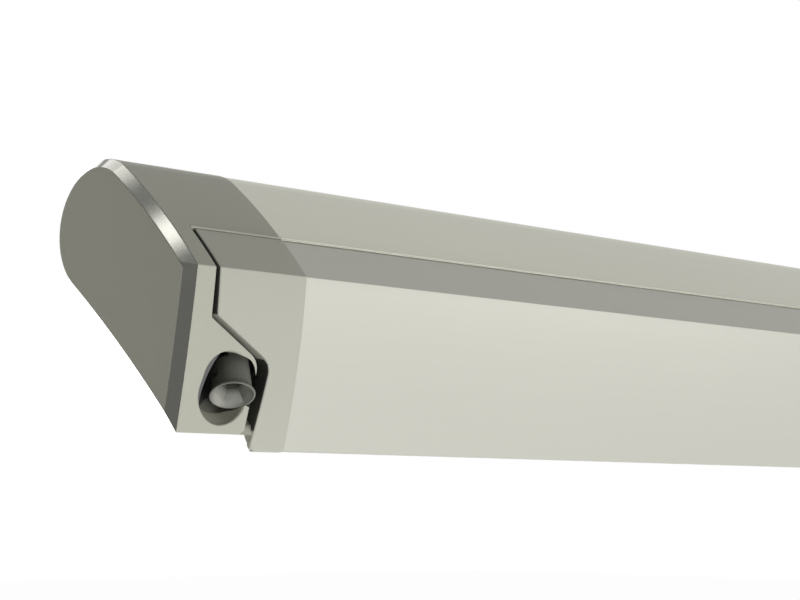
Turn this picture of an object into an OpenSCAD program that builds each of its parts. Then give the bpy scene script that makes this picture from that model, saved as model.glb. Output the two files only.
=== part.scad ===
// Cassette awning for a camper: a sloping extruded case with a fabric roller, two folding
// arms, a front lead rail with two telescopic legs and a crank drive in the left end cap.
// X runs along the awning with the crank at -X, +Y points at the vehicle and Z is up.
// The origin is on the sloping bracket seat under the case, at mid length.

/* [Cassette] */
// Overall length over both end caps
length = 3500; // [3460:20:4500]
// Length of each end cap
cap_len = 97; // [92:1:110]
// Width of the bevel round the outer face of an end cap
bevel = 6.5; // [4:0.5:8]
// Radius of the back of the case round the fabric roll
back_r = 48.5; // [47:0.5:54]
// Angle of the bracket seat from level
seat_angle = 41.3; // [39:0.1:43]
// Distance along the seat from the origin to the start of the round back
seat_run = 63.7; // [62:0.1:68]
// Distance of the front crease in front of the origin
crease_y = 85.4; // [84:0.2:90]
// Height of the front crease above the origin
crease_z = 46.6; // [45:0.2:49]
// Angle round the roll at which the slope meets the crest
crest_angle = 120.6; // [118:0.2:124]
// How far inside the back circle the slope ends
crest_ease = 1.9; // [1.6:0.1:2.4]
// Outward bulge of the slope
slope_bulge = 2.8; // [2.4:0.1:3.4]
// Outward bulge of the lead rail
front_bulge = 3; // [2:0.1:3.6]
// Outward bulge of the front of an end cap
cap_bulge = 1.2; // [0.8:0.1:1.8]
// Hollow of the underside of an end cap
under_hollow = 2.6; // [1:0.1:3]
// Distance of the lower front edge in front of the origin
foot_y = 62.8; // [61:0.2:65]
// Depth of the lower front edge below the origin
foot_z = 67.3; // [66:0.1:70]
// Wall of the extruded profiles
wall = 2; // [1.8:0.1:2.4]
// Wall of the cast end caps
cap_wall = 3; // [2.6:0.1:3.4]
// Front end of the case floor, in front of the origin
floor_y = 31; // [29:0.5:31.5]

/* [Seams] */
// Share of the slope, from the crease, that belongs to the lead rail
seam_share = 0.36; // [0.34:0.005:0.38]
// Open seam between the case and the lead rail
seam_gap = 1.2; // [0.8:0.1:1.6]
// Running gap between an end cap and the lead rail end cap
cap_gap = 2.2; // [2:0.1:2.8]
// Distance of the seam from the outer face of the end cap
seam_x = 20.8; // [18:0.2:22]
// Height of the knee of that seam
knee_z = 15; // [12:0.5:18]
// Fall of the seam below the knee
knee_fall = 30.5; // [26:0.5:34]
// Widest place of the end cap beside the winch opening
lobe_x = 62.5; // [60:0.5:65]
// Width of the end cap at its foot
lobe_foot_x = 58; // [56:0.5:60]
// Extra width of the recess beside the winch opening
recess = 6.5; // [5:0.5:8]

/* [Roller] */
// Diameter of the roller tube
tube_d = 63; // [60:0.5:64]
// Wall of the roller tube
tube_wall = 1.5; // [1.2:0.1:2.5]
// Diameter of the wound fabric
roll_d = 78; // [74:1:80]
// Radius of the roller spindles
spindle_r = 6; // [5:0.5:7]
// Distance of the fabric from each end of the awning
fabric_inset = 160; // [152:1:200]
// Thickness of the fabric
fabric_t = 0.6; // [0.5:0.1:0.8]
// Space between the fabric and its neighbours
fabric_clear = 0.3; // [0.3:0.1:0.8]

/* [Arms] */
// Distance of each shoulder from its end of the awning
shoulder_inset = 350; // [340:5:380]
// Distance of each folded elbow from the middle of the awning
elbow_inset = 90; // [80:5:120]
// Pitch of the arms below level
arm_pitch = 8; // [6:0.5:9]
// Shoulder pin in front of the origin
shoulder_y = 18; // [17:0.5:19]
// Shoulder pin above the origin
shoulder_z = 22.2; // [21:0.2:23]
// Width of an arm tube
arm_w = 21; // [20:0.5:21.5]
// Height of an arm tube
arm_h = 36; // [32:1:36.5]
// Wall of an arm tube
arm_wall = 1.8; // [1.5:0.1:2.5]
// Space between the two folded halves of an arm
arm_gap = 3.3; // [3:0.1:4]
// Radius of the arm pins
pin_r = 5; // [4:0.5:5.5]
// Thickness of the ears of the arm brackets
ear_t = 5; // [4:0.5:5.5]
// Half thickness of the tongue in the elbow
tongue_half = 6; // [5:0.5:7]

/* [Legs] */
// Distance of each leg hinge from its end of the awning
leg_inset = 150; // [140:5:170]
// Length of an outer leg tube from its hinge
leg_outer_len = 1060; // [1000:10:1080]
// Distance of the pushed in inner leg tube from the hinge
leg_root = 60; // [55:5:90]
// Width of an outer leg tube
leg_w = 17; // [16:0.5:17.5]
// Height of an outer leg tube
leg_h = 22; // [20:0.5:22.5]
// Wall of a leg tube
leg_wall = 1.5; // [1.2:0.1:2]
// Middle of the leg lane in front of the origin
leg_y = 47.2; // [46.5:0.1:47.6]
// Middle of the leg lane below the origin
leg_z = 24; // [23.5:0.5:26]
// Underside of the shelf over the leg lane, below the origin
shelf_z = 10; // [9:0.2:10.4]

/* [Crank] */
// Middle of the mouth of the crank eye from the outer face of the end cap
eye_x = 47; // [45:0.5:48]
// Mouth of the crank eye in front of the origin
eye_y = 70.5; // [69:0.5:72]
// Mouth of the crank eye below the origin
eye_z = 33; // [32:0.5:34]
// Lean of the crank shaft from upright
shaft_lean = 31.4; // [30:0.2:33]
// Turn of that lean from the length of the awning
shaft_turn = 58; // [56:0.5:60]
// Radius of the mouth of the crank eye
mouth_r = 15; // [14:0.5:15.5]
// Radius of the body of the crank eye
eye_r = 10.5; // [10:0.5:11]
// Distance of the universal joint from the mouth
cross_up = 36; // [35:0.5:38]
// Outer radius of the worm
worm_r = 8; // [7:0.5:9]
// Radius of the pocket round the crank eye
pocket_r = 23; // [22:0.5:24]

/* [Fits] */
// Radial clearance of a pin that turns in a hole
run_fit = 0.05; // [0.02:0.01:0.09]
// Clearance between faces that slide past each other
side_fit = 0.3; // [0.3:0.05:0.5]
// Radial clearance of the pin at the right hand end of the linkage
open_fit = 0.6; // [0.4:0.1:0.8]
// Room round the crank eye for its tilt
tilt_fit = 2; // [1.8:0.1:2.4]

/* [Hidden] */
$fn = 48;
big = 400;

// Points on an arc round c, both ends included
function arc(c, r, a0, a1, n) =
  [for (i = [0:n]) c + r * [cos(a0 + (a1 - a0) * i / n), sin(a0 + (a1 - a0) * i / n)]];
function unit(v) = v / norm(v);
function right_of(d) = [d.y, -d.x];
function left_of(d) = [-d.y, d.x];
function angle_of(v) = atan2(v.y, v.x);
// Radius and centre of the arc from p to q that bulges to the right of that line
function bulge_r(p, q, b) = (pow(norm(q - p) / 2, 2) + b * b) / (2 * b);
function bulge_c(p, q, b) =
  (p + q) / 2 - right_of(unit(q - p)) * (bulge_r(p, q, b) - b);
// Points on that arc from share s0 to share s1
function bulge_arc(p, q, b, s0, s1, n) =
  let (c = bulge_c(p, q, b), a0 = angle_of(p - c), a1 = angle_of(q - c),
       turn = (a1 - a0 + 540) % 360 - 180)
  arc(c, norm(p - c), a0 + turn * s0, a0 + turn * s1, n);
// Rounded corner at b on the way from a to c
function corner(a, b, c, r, n = 6) =
  let (u = unit(a - b), v = unit(c - b), half = acos(u * v) / 2,
       m = b + unit(u + v) * r / sin(half), p = b + u * r / tan(half), q = b + v * r / tan(half))
  [for (i = [0:n]) m + r * unit((p - m) * (1 - i / n) + (q - m) * i / n)];
// Point of a path moved to its left by d, mitred at the joints
function mitre(a, b, c, d) =
  let (m = left_of(unit(b - a)), n = left_of(unit(c - b))) b + d * (m + n) / (1 + m * n);
function inset(p, d) =
  let (n = len(p)) [for (i = [0:n - 1]) mitre(p[(i + n - 1) % n], p[i], p[(i + 1) % n], d)];
// Open path moved to its left by d
function shifted(p, d) =
  let (n = len(p))
  [for (i = [0:n - 1])
    i == 0 ? p[0] + d * left_of(unit(p[1] - p[0]))
    : i == n - 1 ? p[i] + d * left_of(unit(p[i] - p[i - 1]))
    : mitre(p[i - 1], p[i], p[i + 1], d)];
function reverse(p) = [for (i = [len(p) - 1:-1:0]) p[i]];
// Wall of thickness t on the left of an open path
function strip(p, t) = concat(p, reverse(shifted(p, t)));
function rounded_box(w, h, r) =
  concat(arc([w / 2 - r, h / 2 - r], r, 0, 90, 4), arc([r - w / 2, h / 2 - r], r, 90, 180, 4),
         arc([r - w / 2, r - h / 2], r, 180, 270, 4), arc([w / 2 - r, r - h / 2], r, 270, 360, 4));

// Section of the case in the plane of Y and Z
seat_dir = [cos(seat_angle), sin(seat_angle)];
roll_c = seat_run * seat_dir + back_r * left_of(seat_dir);
crease = [-crease_y, crease_z];
foot = [-foot_y, -foot_z];
slope_end = roll_c + (back_r - crest_ease) * [cos(crest_angle), sin(crest_angle)];
slope_c = bulge_c(slope_end, crease, slope_bulge);
slope_n = unit(slope_end - slope_c);
slope_d = slope_end - roll_c;
crest_r = (back_r * back_r - slope_d * slope_d) / (2 * (back_r - slope_d * slope_n));
crest_c = slope_end - crest_r * slope_n;
join_a = angle_of(crest_c - roll_c);
function but_last(p) = [for (i = [0:len(p) - 2]) p[i]];
function but_first(p) = [for (i = [1:len(p) - 1]) p[i]];
back_line = concat(but_last(arc(roll_c, back_r, seat_angle - 90, join_a, 36)),
                   arc(crest_c, crest_r, join_a, angle_of(slope_n), 14));
// Front face from the crease down to height z, for a face with bulge b
function front_line(z, n, b) =
  let (c = bulge_c(crease, foot, b), r = bulge_r(crease, foot, b), a0 = angle_of(crease - c))
  arc(c, r, a0 < 0 ? a0 + 360 : a0, 180 + asin((c.y - z) / r), n);
// Tip where the front of an end cap meets the line of the seat
seat_hit = let (c = bulge_c(crease, foot, cap_bulge), r = bulge_r(crease, foot, cap_bulge),
                d = -seat_dir, k = d * c)
  (k + sqrt(k * k - c * c + r * r)) * d;
seat_back = seat_run * seat_dir;
under_line = reverse(bulge_arc(seat_back, seat_hit, under_hollow, 0, 1, 16));
cap_outline = concat(
  but_last(under_line), but_last(back_line),
  bulge_arc(slope_end, crease, slope_bulge, 0, 1, 14),
  but_first(but_last(front_line(seat_hit.y, 12, cap_bulge))));
// Outline of an end cap moved inward: the points of its sharp tip that would cross are merged
cap_count = len(cap_outline);
cap_apex = acos(unit(cap_outline[1] - cap_outline[0]) * unit(cap_outline[cap_count - 1] - cap_outline[0]));
function merged(d, k) = floor(0.1 + d / tan(cap_apex / 2) / norm(cap_outline[k] - cap_outline[0]));
function meet(a, u, b, v) = a + u * cross(b - a, v) / cross(u, v);
function cap_inset(d) =
  let (p = cap_outline, n = cap_count, i = merged(d, 1), j = merged(d, n - 1),
       u = unit(p[i + 1] - p[i]), v = unit(p[(n - j) % n] - p[n - j - 1]))
  concat([meet(p[i + 1] + d * left_of(u), u, p[n - j - 1] + d * left_of(v), v)],
         [for (k = [i + 1:n - j - 1]) mitre(p[k - 1], p[k], p[(k + 1) % n], d)]);
slope_all = bulge_arc(slope_end, crease, slope_bulge, 0, 1 - seam_share, 9);
seam = slope_all[9];
seam_t = unit(slope_all[9] - slope_all[8]);
seam_n = left_of(seam_t);
floor_end = -floor_y / seat_dir.x * seat_dir;
case_line = concat([floor_end], but_last(back_line), slope_all);
seam_len = norm(crease - slope_end);
rail_lip = 5.2;
rail_face = concat(
  bulge_arc(slope_end, crease, slope_bulge, 1 - seam_share + seam_gap / seam_len, 1, 5),
  but_first(front_line(-foot_z, 12, front_bulge)));
rail_line = concat(rail_face, [foot + rail_lip * [1, -0.08]]);
case_inner = shifted(case_line, wall);

// Bead that guides the fabric, and the groove of the lead rail that holds it
bead_r = 2.5;
bead_c = seam + 7 * seam_n - 2 * seam_t;
groove_r = 4.8;
keder_r = 3.4;
groove_c = seam + 6 * seam_n + 7 * seam_t;
groove_mouth = 2.6;
groove_a = 17;
wrap_r = bead_r + fabric_clear;
roll_wrap_r = roll_d / 2 + fabric_clear;
wrap_v = bead_c - roll_c;
wrap_a = angle_of(wrap_v) + 360
  - acos((wrap_r + fabric_t + roll_wrap_r + fabric_t / 2) / norm(wrap_v));
fabric_line = concat(
  [roll_c + roll_wrap_r * [cos(wrap_a), sin(wrap_a)]],
  arc(bead_c, wrap_r + fabric_t, wrap_a + 180, 360 - 70, 6),
  [groove_c + (groove_r + fabric_clear) * [cos(groove_a), sin(groove_a)]
   + fabric_t / 2 * [sin(groove_a), -cos(groove_a)]]);

// Arm geometry, in a plane that is pitched forward and down through the shoulder pins
arm_len = length / 2 - shoulder_inset - elbow_inset;
hand_v = arm_w + arm_gap;
elbow_v = hand_v / 2;
knuckle_r = arm_w / 2;
tube_start = 14;
tube_stop = arm_len - 26;
root_x = arm_len - 14;
ear_in = arm_h / 2 + side_fit;
ear_out = ear_in + ear_t;
ear_skin = tongue_half + side_fit;
elbow_r = 11.5;
plug_len = 32;
pin_head = 1.8;

// Legs
leg_mid = [-leg_y, -leg_z];
collar_len = 34;
foot_len = 16;
inner_w = leg_w - 2 * leg_wall - 2 * side_fit;
inner_h = leg_h - 2 * leg_wall - 2 * side_fit;
lever_len = 46;
lever_pin_r = 2;
leg_knuckle_r = 11;

// Crank shaft: its direction, and where it passes the roller axis
shaft_dir = [sin(shaft_lean) * cos(shaft_turn), sin(shaft_lean) * sin(shaft_turn), cos(shaft_lean)];
mouth = [eye_x - length / 2, -eye_y, -eye_z];
to_roll = roll_c - [mouth.y, mouth.z];
shaft_flat = [shaft_dir.y, shaft_dir.z];
pass_t = to_roll * shaft_flat / (shaft_flat * shaft_flat);
worm_gap = abs(to_roll * left_of(unit(shaft_flat)));
wheel_x = eye_x + pass_t * shaft_dir.x;
wheel_r = worm_gap - worm_r - side_fit;
wheel_half = 5;
wheel_teeth = 18;
shaft_r = 4.5;
shaft_end = pass_t + 26;

module along(x0, x1) {
  translate([x0 - length / 2, 0, 0]) rotate([90, 0, 90]) linear_extrude(x1 - x0) children();
}
module across(y0, y1) {
  translate([-length / 2, y1, 0]) rotate([90, 0, 0]) linear_extrude(y1 - y0) children();
}
module rod(x0, x1, c, r) {
  translate([x0 - length / 2, c.x, c.y]) rotate([0, 90, 0]) cylinder(h = x1 - x0, r = r);
}
module flip() { mirror([1, 0, 0]) children(); }
module on_arm() {
  translate([shoulder_inset - length / 2, -shoulder_y, shoulder_z]) rotate([arm_pitch, 0, 0])
    children();
}
module on_shaft() {
  translate(mouth) rotate([0, shaft_lean, shaft_turn]) children();
}
module box_tube(w, h, t, len) {
  rotate([90, 0, 90]) linear_extrude(len) difference() {
    polygon(rounded_box(w, h, 2.5));
    polygon(rounded_box(w - 2 * t, h - 2 * t, 1.2));
  }
}
module plug(w, h, t, len) {
  rotate([90, 0, 90]) linear_extrude(len) polygon(rounded_box(w - 2 * t, h - 2 * t, 1.2));
}

// Screw ports round the roll, used by the profile, the end plates and the screws
port_angles = [62, 18, -30];
port_r = 2.8;
port_hole = 1.75;
function port(a) = roll_c + (roll_d / 2 + port_r + 0.4) * [cos(a), sin(a)];
plate_t = 6;
// Bracket grooves under the seat: their distances along it, and the size of the rib round each
groove_at = [-24, 50];
rib_w = 16;
rib_h = 8;
module groove_ribs() {
  for (d = groove_at) translate(seat_dir * d) rotate(seat_angle)
    translate([-rib_w / 2, 0]) square([rib_w, rib_h]);
}

module cassette_profile() {
  color([0.80, 0.80, 0.76]) along(cap_len, length - cap_len) {
    difference() {
      union() {
        polygon(strip(case_line, wall));
        polygon([floor_end, floor_end + [wall, 0.4], floor_end + [wall, 11], floor_end + [0, 11]]);
        translate(bead_c) circle(r = bead_r);
        polygon([seam - 2.9 * seam_t, seam - 1.1 * seam_t,
                 bead_c + 0.9 * seam_t, bead_c - 0.9 * seam_t]);
        for (a = port_angles) {
          translate(port(a)) circle(r = port_r);
          translate(port(a)) rotate(a) translate([0, -1.2])
            square([back_r - wall / 2 - norm(port(a) - roll_c), 2.4]);
        }
        groove_ribs();
      }
      for (a = port_angles) translate(port(a)) circle(r = port_hole);
      for (d = groove_at) translate(seat_dir * d) rotate(seat_angle) {
        translate([2 - rib_w / 2, wall]) square([rib_w - 4, rib_h - 2 * wall]);
        translate([-3.5, -1]) square([7, wall + 2]);
      }
    }
  }
}

// Front part of the end cap in the plane of X and Z, left of the seam
fall = [cos(knee_fall), -sin(knee_fall)];
knee = [seam_x, knee_z];
lobe_top = knee + fall * (lobe_x - seam_x + 1) / fall.x;
module cap_front_shape(d = 0) {
  polygon(inset(reverse(concat(
    [[-1, big], [seam_x, big]],
    corner([seam_x, big], knee, lobe_top, 3),
    corner(knee, lobe_top, [lobe_foot_x, -big / 4], 12),
    [[lobe_foot_x - 3, -big / 3], [-1, -big / 3]])), d));
}
rail_knee = knee + cap_gap * [1, 0.9];
rail_lobe = rail_knee + fall * (lobe_x - seam_x + recess) / fall.x;
rail_foot = [lobe_foot_x + cap_gap + recess, -foot_z - 0.6];
module rail_cap_shape(d = 0) {
  polygon(inset(concat(
    [[cap_len, big], [rail_knee.x, big]],
    corner([rail_knee.x, big], rail_knee, rail_lobe, cap_wall + 0.6),
    corner(rail_knee, rail_lobe, rail_foot, 12),
    corner(rail_lobe, rail_foot, rail_foot + [30, 0], 6),
    [[cap_len, -foot_z - 0.6]]), d));
}
module bevel_slab() {
  p = cap_outline;
  q = cap_inset(bevel);
  n = cap_count;
  m = len(q);
  near = merged(bevel, 1);
  far = merged(bevel, n - 1);
  function slot(i) = i <= near || i >= n - far ? 0 : i - near;
  top = len(under_line) + len(back_line) - 2;
  translate([-length / 2, 0, 0]) polyhedron(
    points = concat([for (v = q) [0, v.x, v.y]], [for (v = p) [bevel, v.x, v.y]]),
    faces = concat(
      [[for (i = [0:m - 1]) (slot(top) + i) % m]], [[for (i = [0:n - 1]) m + (top + n - i) % n]],
      [for (i = [0:n - 1]) let (j = (i + 1) % n)
        slot(i) == slot(j) ? [slot(i), m + i, m + j] : [slot(i), m + i, m + j, slot(j)]]));
}
module end_cap(opening) {
  seam_cut = seam.x + 0.1;
  color([0.52, 0.52, 0.48]) difference() {
    union() {
      bevel_slab();
      difference() {
        along(bevel, cap_len) polygon(cap_outline);
        along(bevel - 1, cap_len + 1) polygon(cap_inset(cap_wall));
        across(-big, seam_cut) difference() {
          translate([-1, -big]) square([cap_len + 2, 2 * big]);
          cap_front_shape();
        }
      }
      intersection() {
        along(bevel, cap_len) difference() {
          polygon(cap_outline);
          polygon(cap_inset(14));
        }
        across(-big, seam_cut) difference() {
          cap_front_shape();
          cap_front_shape(cap_wall);
          translate([-1, -big]) square([seam_x - cap_wall, 2 * big]);
        }
      }
    }
    if (opening) {
      winch_hole();
      on_shaft() rotate_extrude() polygon([[0, -4], [mouth_r + tilt_fit, -4],
        [mouth_r + tilt_fit, 1], [eye_r + 1 + tilt_fit, 13], [eye_r + 1 + tilt_fit, 40], [0, 40]]);
    }
  }
}
module capsule(a, b, r) {
  n = r * left_of(unit(b - a));
  translate(a) circle(r = r);
  translate(b) circle(r = r);
  polygon([a + n, b + n, b - n, a - n]);
}
module winch_hole() {
  across(-big / 4, -foot_y) capsule([eye_x - 5.4, 8.8 - eye_z], [eye_x - 7.4, 1.2 - eye_z], 19.3);
}
module end_cap_left() { end_cap(true); }
module end_cap_right() { flip() end_cap(false); }

// Cast plate on each end of the profile, which carries the roller bearing
module end_plate() {
  color([0.62, 0.62, 0.60]) difference() {
    along(cap_len - plate_t, cap_len) intersection() {
      polygon(cap_inset(cap_wall + 0.05));
      translate([-38, -40]) square([big, big]);
    }
    rod(0, cap_len + 1, roll_c, spindle_r + 3);
    for (a = port_angles) rod(0, cap_len + 1, port(a), 2.1);
    along(0, cap_len + 1) translate([-60, 58]) square([24, 30]);
  }
}
module end_plate_left() {
  difference() {
    end_plate();
    on_shaft() translate([0, 0, pass_t - 30]) cylinder(h = 60, r = worm_r + 1);
  }
}
module end_plate_right() { flip() end_plate(); }
module plate_screws() {
  color([0.75, 0.75, 0.78]) for (s = [0, 1]) mirror([s, 0, 0]) for (a = port_angles) {
    rod(cap_len - plate_t, cap_len + 20, port(a), port_hole - 0.02);
    rod(cap_len - plate_t - 2.5, cap_len - plate_t, port(a), 3);
  }
}
module roller_bearings() {
  color([0.25, 0.25, 0.25]) for (s = [0, 1]) mirror([s, 0, 0]) difference() {
    union() {
      rod(cap_len - plate_t - 1, cap_len + 1, roll_c, spindle_r + 3);
      rod(cap_len, cap_len + 1.5, roll_c, spindle_r + 6);
    }
    rod(0, cap_len + 3, roll_c, spindle_r + run_fit);
  }
}

// Roller
roll_start = cap_len + 4;
module roller_tube() {
  color([0.72, 0.73, 0.75]) difference() {
    rod(roll_start, length - roll_start, roll_c, tube_d / 2);
    rod(roll_start - 1, length - roll_start + 1, roll_c, tube_d / 2 - tube_wall);
  }
}
module roller_plug(tail) {
  color([0.30, 0.30, 0.30]) {
    rod(roll_start, roll_start + 30, roll_c, tube_d / 2 - tube_wall);
    rod(roll_start - 1.8, roll_start, roll_c, tube_d / 2);
    rod(tail, roll_start - 1, roll_c, spindle_r);
  }
}
module roller_plug_left() { roller_plug(wheel_x - wheel_half - 4); }
module roller_plug_right() { flip() roller_plug(cap_len - plate_t - 6); }
module worm_wheel() {
  tooth = 2.2;
  color([0.72, 0.58, 0.30]) difference() {
    along(wheel_x - wheel_half, wheel_x + wheel_half - 3) polygon([for (i = [0:wheel_teeth - 1])
      for (k = [[-0.30, wheel_r - tooth], [-0.14, wheel_r], [0.14, wheel_r], [0.30, wheel_r - tooth]])
        roll_c + k[1] * [cos((i + k[0]) * 360 / wheel_teeth), sin((i + k[0]) * 360 / wheel_teeth)]]);
    rod(0, cap_len, roll_c, spindle_r);
  }
}
module fabric_roll() {
  color([0.70, 0.71, 0.70]) difference() {
    rod(fabric_inset, length - fabric_inset, roll_c, roll_d / 2);
    rod(fabric_inset - 1, length - fabric_inset + 1, roll_c, tube_d / 2);
  }
}
module canopy() {
  color([0.75, 0.76, 0.76]) along(fabric_inset, length - fabric_inset)
    polygon(strip(fabric_line, -fabric_t));
}

// Shoulders
module case_room() { along(cap_len, length - cap_len) polygon(case_inner); }
module shoulder_bracket() {
  color([0.55, 0.56, 0.57]) difference() {
    intersection() {
      case_room();
      on_arm() {
        for (s = [-1, 1]) translate([0, 0, s * (ear_in + ear_t / 2)]) {
          cylinder(h = ear_t, r = knuckle_r, center = true);
          translate([-knuckle_r, 0, -ear_t / 2]) cube([2 * knuckle_r, knuckle_r + 6, ear_t]);
        }
        translate([-26, knuckle_r + side_fit, -ear_out]) cube([52, 26, 2 * ear_out]);
      }
    }
    along(0, length) groove_ribs();
    rod(0, length, roll_c, roll_d / 2 + 2);
    on_arm() cylinder(h = big, r = pin_r, center = true);
    for (x = [-17, 17]) shoulder_bolt_at(x) cylinder(h = 60, r = 3.1, center = true);
    on_arm() for (s = [-1, 1]) translate([s * 27, 24, 0]) cylinder(h = big, r = 9, center = true);
  }
}
module shoulder_bolt_at(x) {
  translate([shoulder_inset - length / 2 + x, 0, 0]) rotate([seat_angle, 0, 0])
    translate([0, 22, 0]) children();
}
module shoulder_bracket_left() { shoulder_bracket(); }
module shoulder_bracket_right() { flip() shoulder_bracket(); }
module shoulder_pins() {
  color([0.75, 0.75, 0.78]) for (s = [0, 1]) mirror([s, 0, 0]) on_arm() {
    cylinder(h = 2 * ear_out, r = pin_r, center = true);
    translate([0, 0, ear_out]) cylinder(h = pin_head, r = pin_r + 1.5);
  }
}
module shoulder_bolts() {
  color([0.75, 0.75, 0.78]) for (s = [0, 1]) mirror([s, 0, 0]) for (x = [-17, 17])
    shoulder_bolt_at(x) {
      translate([0, 0, wall]) cylinder(h = 9, r = 3);
    }
}
module cassette_seal() {
  color([0.12, 0.12, 0.12]) along(cap_len, length - cap_len)
    translate(floor_end + [-2.6, 3.8]) square([2.6, 6]);
}

// Arms, drawn for the left side with the folded halves side by side
module shoulder_knuckle() {
  color([0.50, 0.51, 0.52]) on_arm() difference() {
    union() {
      cylinder(h = arm_h, r = knuckle_r, center = true);
      translate([0, -arm_w / 2, -arm_h / 2]) cube([tube_start, arm_w, arm_h]);
      plug(arm_w, arm_h, arm_wall, tube_start + plug_len);
    }
    cylinder(h = big, r = pin_r + run_fit, center = true);
  }
}
module upper_arm() {
  color([0.80, 0.80, 0.78]) on_arm() translate([tube_start, 0, 0])
    box_tube(arm_w, arm_h, arm_wall, tube_stop - tube_start);
}
module elbow_root(v, skin) {
  translate([tube_stop, v - arm_w / 2, -arm_h / 2]) cube([root_x - tube_stop, arm_w, arm_h]);
  translate([tube_stop - plug_len, v, 0]) plug(arm_w, arm_h, arm_wall, plug_len + 4);
}
module elbow_plate(v, z0, z1) {
  translate([0, 0, z0]) linear_extrude(z1 - z0) {
    translate([arm_len, -elbow_v]) circle(r = elbow_r);
    polygon([[root_x - 1, v + arm_w / 2], [root_x - 1, v - arm_w / 2],
      v > -elbow_v ? [arm_len - 6, -elbow_v - 9.8] : [arm_len + 6, -elbow_v - 9.8],
      v > -elbow_v ? [arm_len + 6, -elbow_v + 9.8] : [arm_len - 6, -elbow_v + 9.8]]);
  }
}
module elbow_yoke() {
  color([0.50, 0.51, 0.52]) on_arm() difference() {
    union() {
      elbow_root(0);
      elbow_plate(0, ear_skin, arm_h / 2);
      elbow_plate(0, -arm_h / 2, -ear_skin);
    }
    translate([arm_len, -elbow_v, 0]) cylinder(h = big, r = pin_r + run_fit, center = true);
  }
}
module elbow_tongue() {
  color([0.50, 0.51, 0.52]) on_arm() difference() {
    union() {
      elbow_root(-hand_v);
      elbow_plate(-hand_v, -tongue_half, tongue_half);
    }
    translate([arm_len, -elbow_v, 0]) cylinder(h = big, r = pin_r, center = true);
  }
}
module elbow_pin() {
  color([0.75, 0.75, 0.78]) on_arm() translate([arm_len, -elbow_v, 0]) {
    cylinder(h = arm_h + 2 * side_fit, r = pin_r, center = true);
    for (k = [-1, 1]) translate([0, 0, k * (arm_h / 2 + side_fit + pin_head / 2)])
      cylinder(h = pin_head, r = pin_r + 1.5, center = true);
  }
}
module arm_spring() {
  color([0.35, 0.35, 0.36]) on_arm() translate([tube_start + plug_len, 0, 0])
    rotate([0, 90, 0]) cylinder(h = tube_stop - tube_start - 2 * plug_len, r = 7);
}
module forearm() {
  color([0.80, 0.80, 0.78]) on_arm() translate([tube_start, -hand_v, 0])
    box_tube(arm_w, arm_h, arm_wall, tube_stop - tube_start);
}
module hand_knuckle(clear) {
  color([0.50, 0.51, 0.52]) on_arm() translate([0, -hand_v, 0]) difference() {
    union() {
      cylinder(h = arm_h, r = knuckle_r, center = true);
      translate([0, -arm_w / 2, -arm_h / 2]) cube([tube_start, arm_w, arm_h]);
      plug(arm_w, arm_h, arm_wall, tube_start + plug_len);
    }
    cylinder(h = big, r = pin_r + clear, center = true);
  }
}
module upper_arm_left() { upper_arm(); }
module upper_arm_right() { flip() upper_arm(); }
module shoulder_knuckle_left() { shoulder_knuckle(); }
module shoulder_knuckle_right() { flip() shoulder_knuckle(); }
module elbow_yoke_left() { elbow_yoke(); }
module elbow_yoke_right() { flip() elbow_yoke(); }
module arm_spring_left() { arm_spring(); }
module arm_spring_right() { flip() arm_spring(); }
module forearm_left() { forearm(); }
module forearm_right() { flip() forearm(); }
module elbow_tongue_left() { elbow_tongue(); }
module elbow_tongue_right() { flip() elbow_tongue(); }
module elbow_pin_left() { elbow_pin(); }
module elbow_pin_right() { flip() elbow_pin(); }
module hand_knuckle_left() { hand_knuckle(run_fit); }
module hand_knuckle_right() { flip() hand_knuckle(open_fit); }

// Lead rail
shelf_back = 34;
rail_back_z = 50;
module lead_rail_profile() {
  front_in = front_line(-shelf_z, 4, front_bulge)[4].x + 1;
  color([0.84, 0.84, 0.80]) along(cap_len, length - cap_len) difference() {
    union() {
      polygon(strip(rail_line, wall));
      translate([front_in, -shelf_z]) square([-shelf_back - front_in, wall]);
      translate([-shelf_back - wall, -rail_back_z]) square([wall, rail_back_z - shelf_z + wall]);
      translate(groove_c) circle(r = groove_r);
    }
    translate(groove_c) circle(r = keder_r);
    translate(groove_c) rotate(groove_a) translate([0, -groove_mouth / 2])
      square([groove_r + 2, groove_mouth]);
  }
}
module rail_end_cap() {
  depth = 10;
  color([0.76, 0.76, 0.72]) intersection() {
    across(-big, seam.x - side_fit) rail_cap_shape();
    union() {
      along(0, cap_len) polygon(strip(rail_line, cap_wall));
      difference() {
        along(0, cap_len) polygon(strip(rail_face, depth));
        across(-big, big) rail_cap_shape(cap_wall);
      }
    }
  }
}
module rail_end_cap_left() { rail_end_cap(); }
module rail_end_cap_right() { flip() rail_end_cap(); }
module rail_room() {
  along(cap_len, length - cap_len) intersection() {
    polygon(concat(shifted(rail_line, wall), [[-10, -foot_z], [-10, 60]]));
    translate([-big, -shelf_z + wall]) square([big, big]);
  }
}
module hand_bracket() {
  color([0.55, 0.56, 0.57]) difference() {
    union() {
      on_arm() translate([0, -hand_v, 0]) for (s = [-1, 1])
        translate([0, 0, s * (ear_in + ear_t / 2)]) {
          cylinder(h = ear_t, r = knuckle_r, center = true);
          translate([-knuckle_r, -knuckle_r - 8, -ear_t / 2])
            cube([2 * knuckle_r, knuckle_r + 8, ear_t]);
        }
      intersection() {
        rail_room();
        on_arm() translate([-22, -hand_v - knuckle_r - side_fit - 30, -ear_out])
          cube([44, 30, 2 * ear_out]);
      }
    }
    on_arm() translate([0, -hand_v, 0]) cylinder(h = big, r = pin_r, center = true);
    on_arm() for (s = [-1, 1]) translate([s * 22, -hand_v - knuckle_r - 14, 0])
      cylinder(h = big, r = 8, center = true);
  }
}
module hand_bracket_left() { hand_bracket(); }
module hand_bracket_right() { flip() hand_bracket(); }
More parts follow.
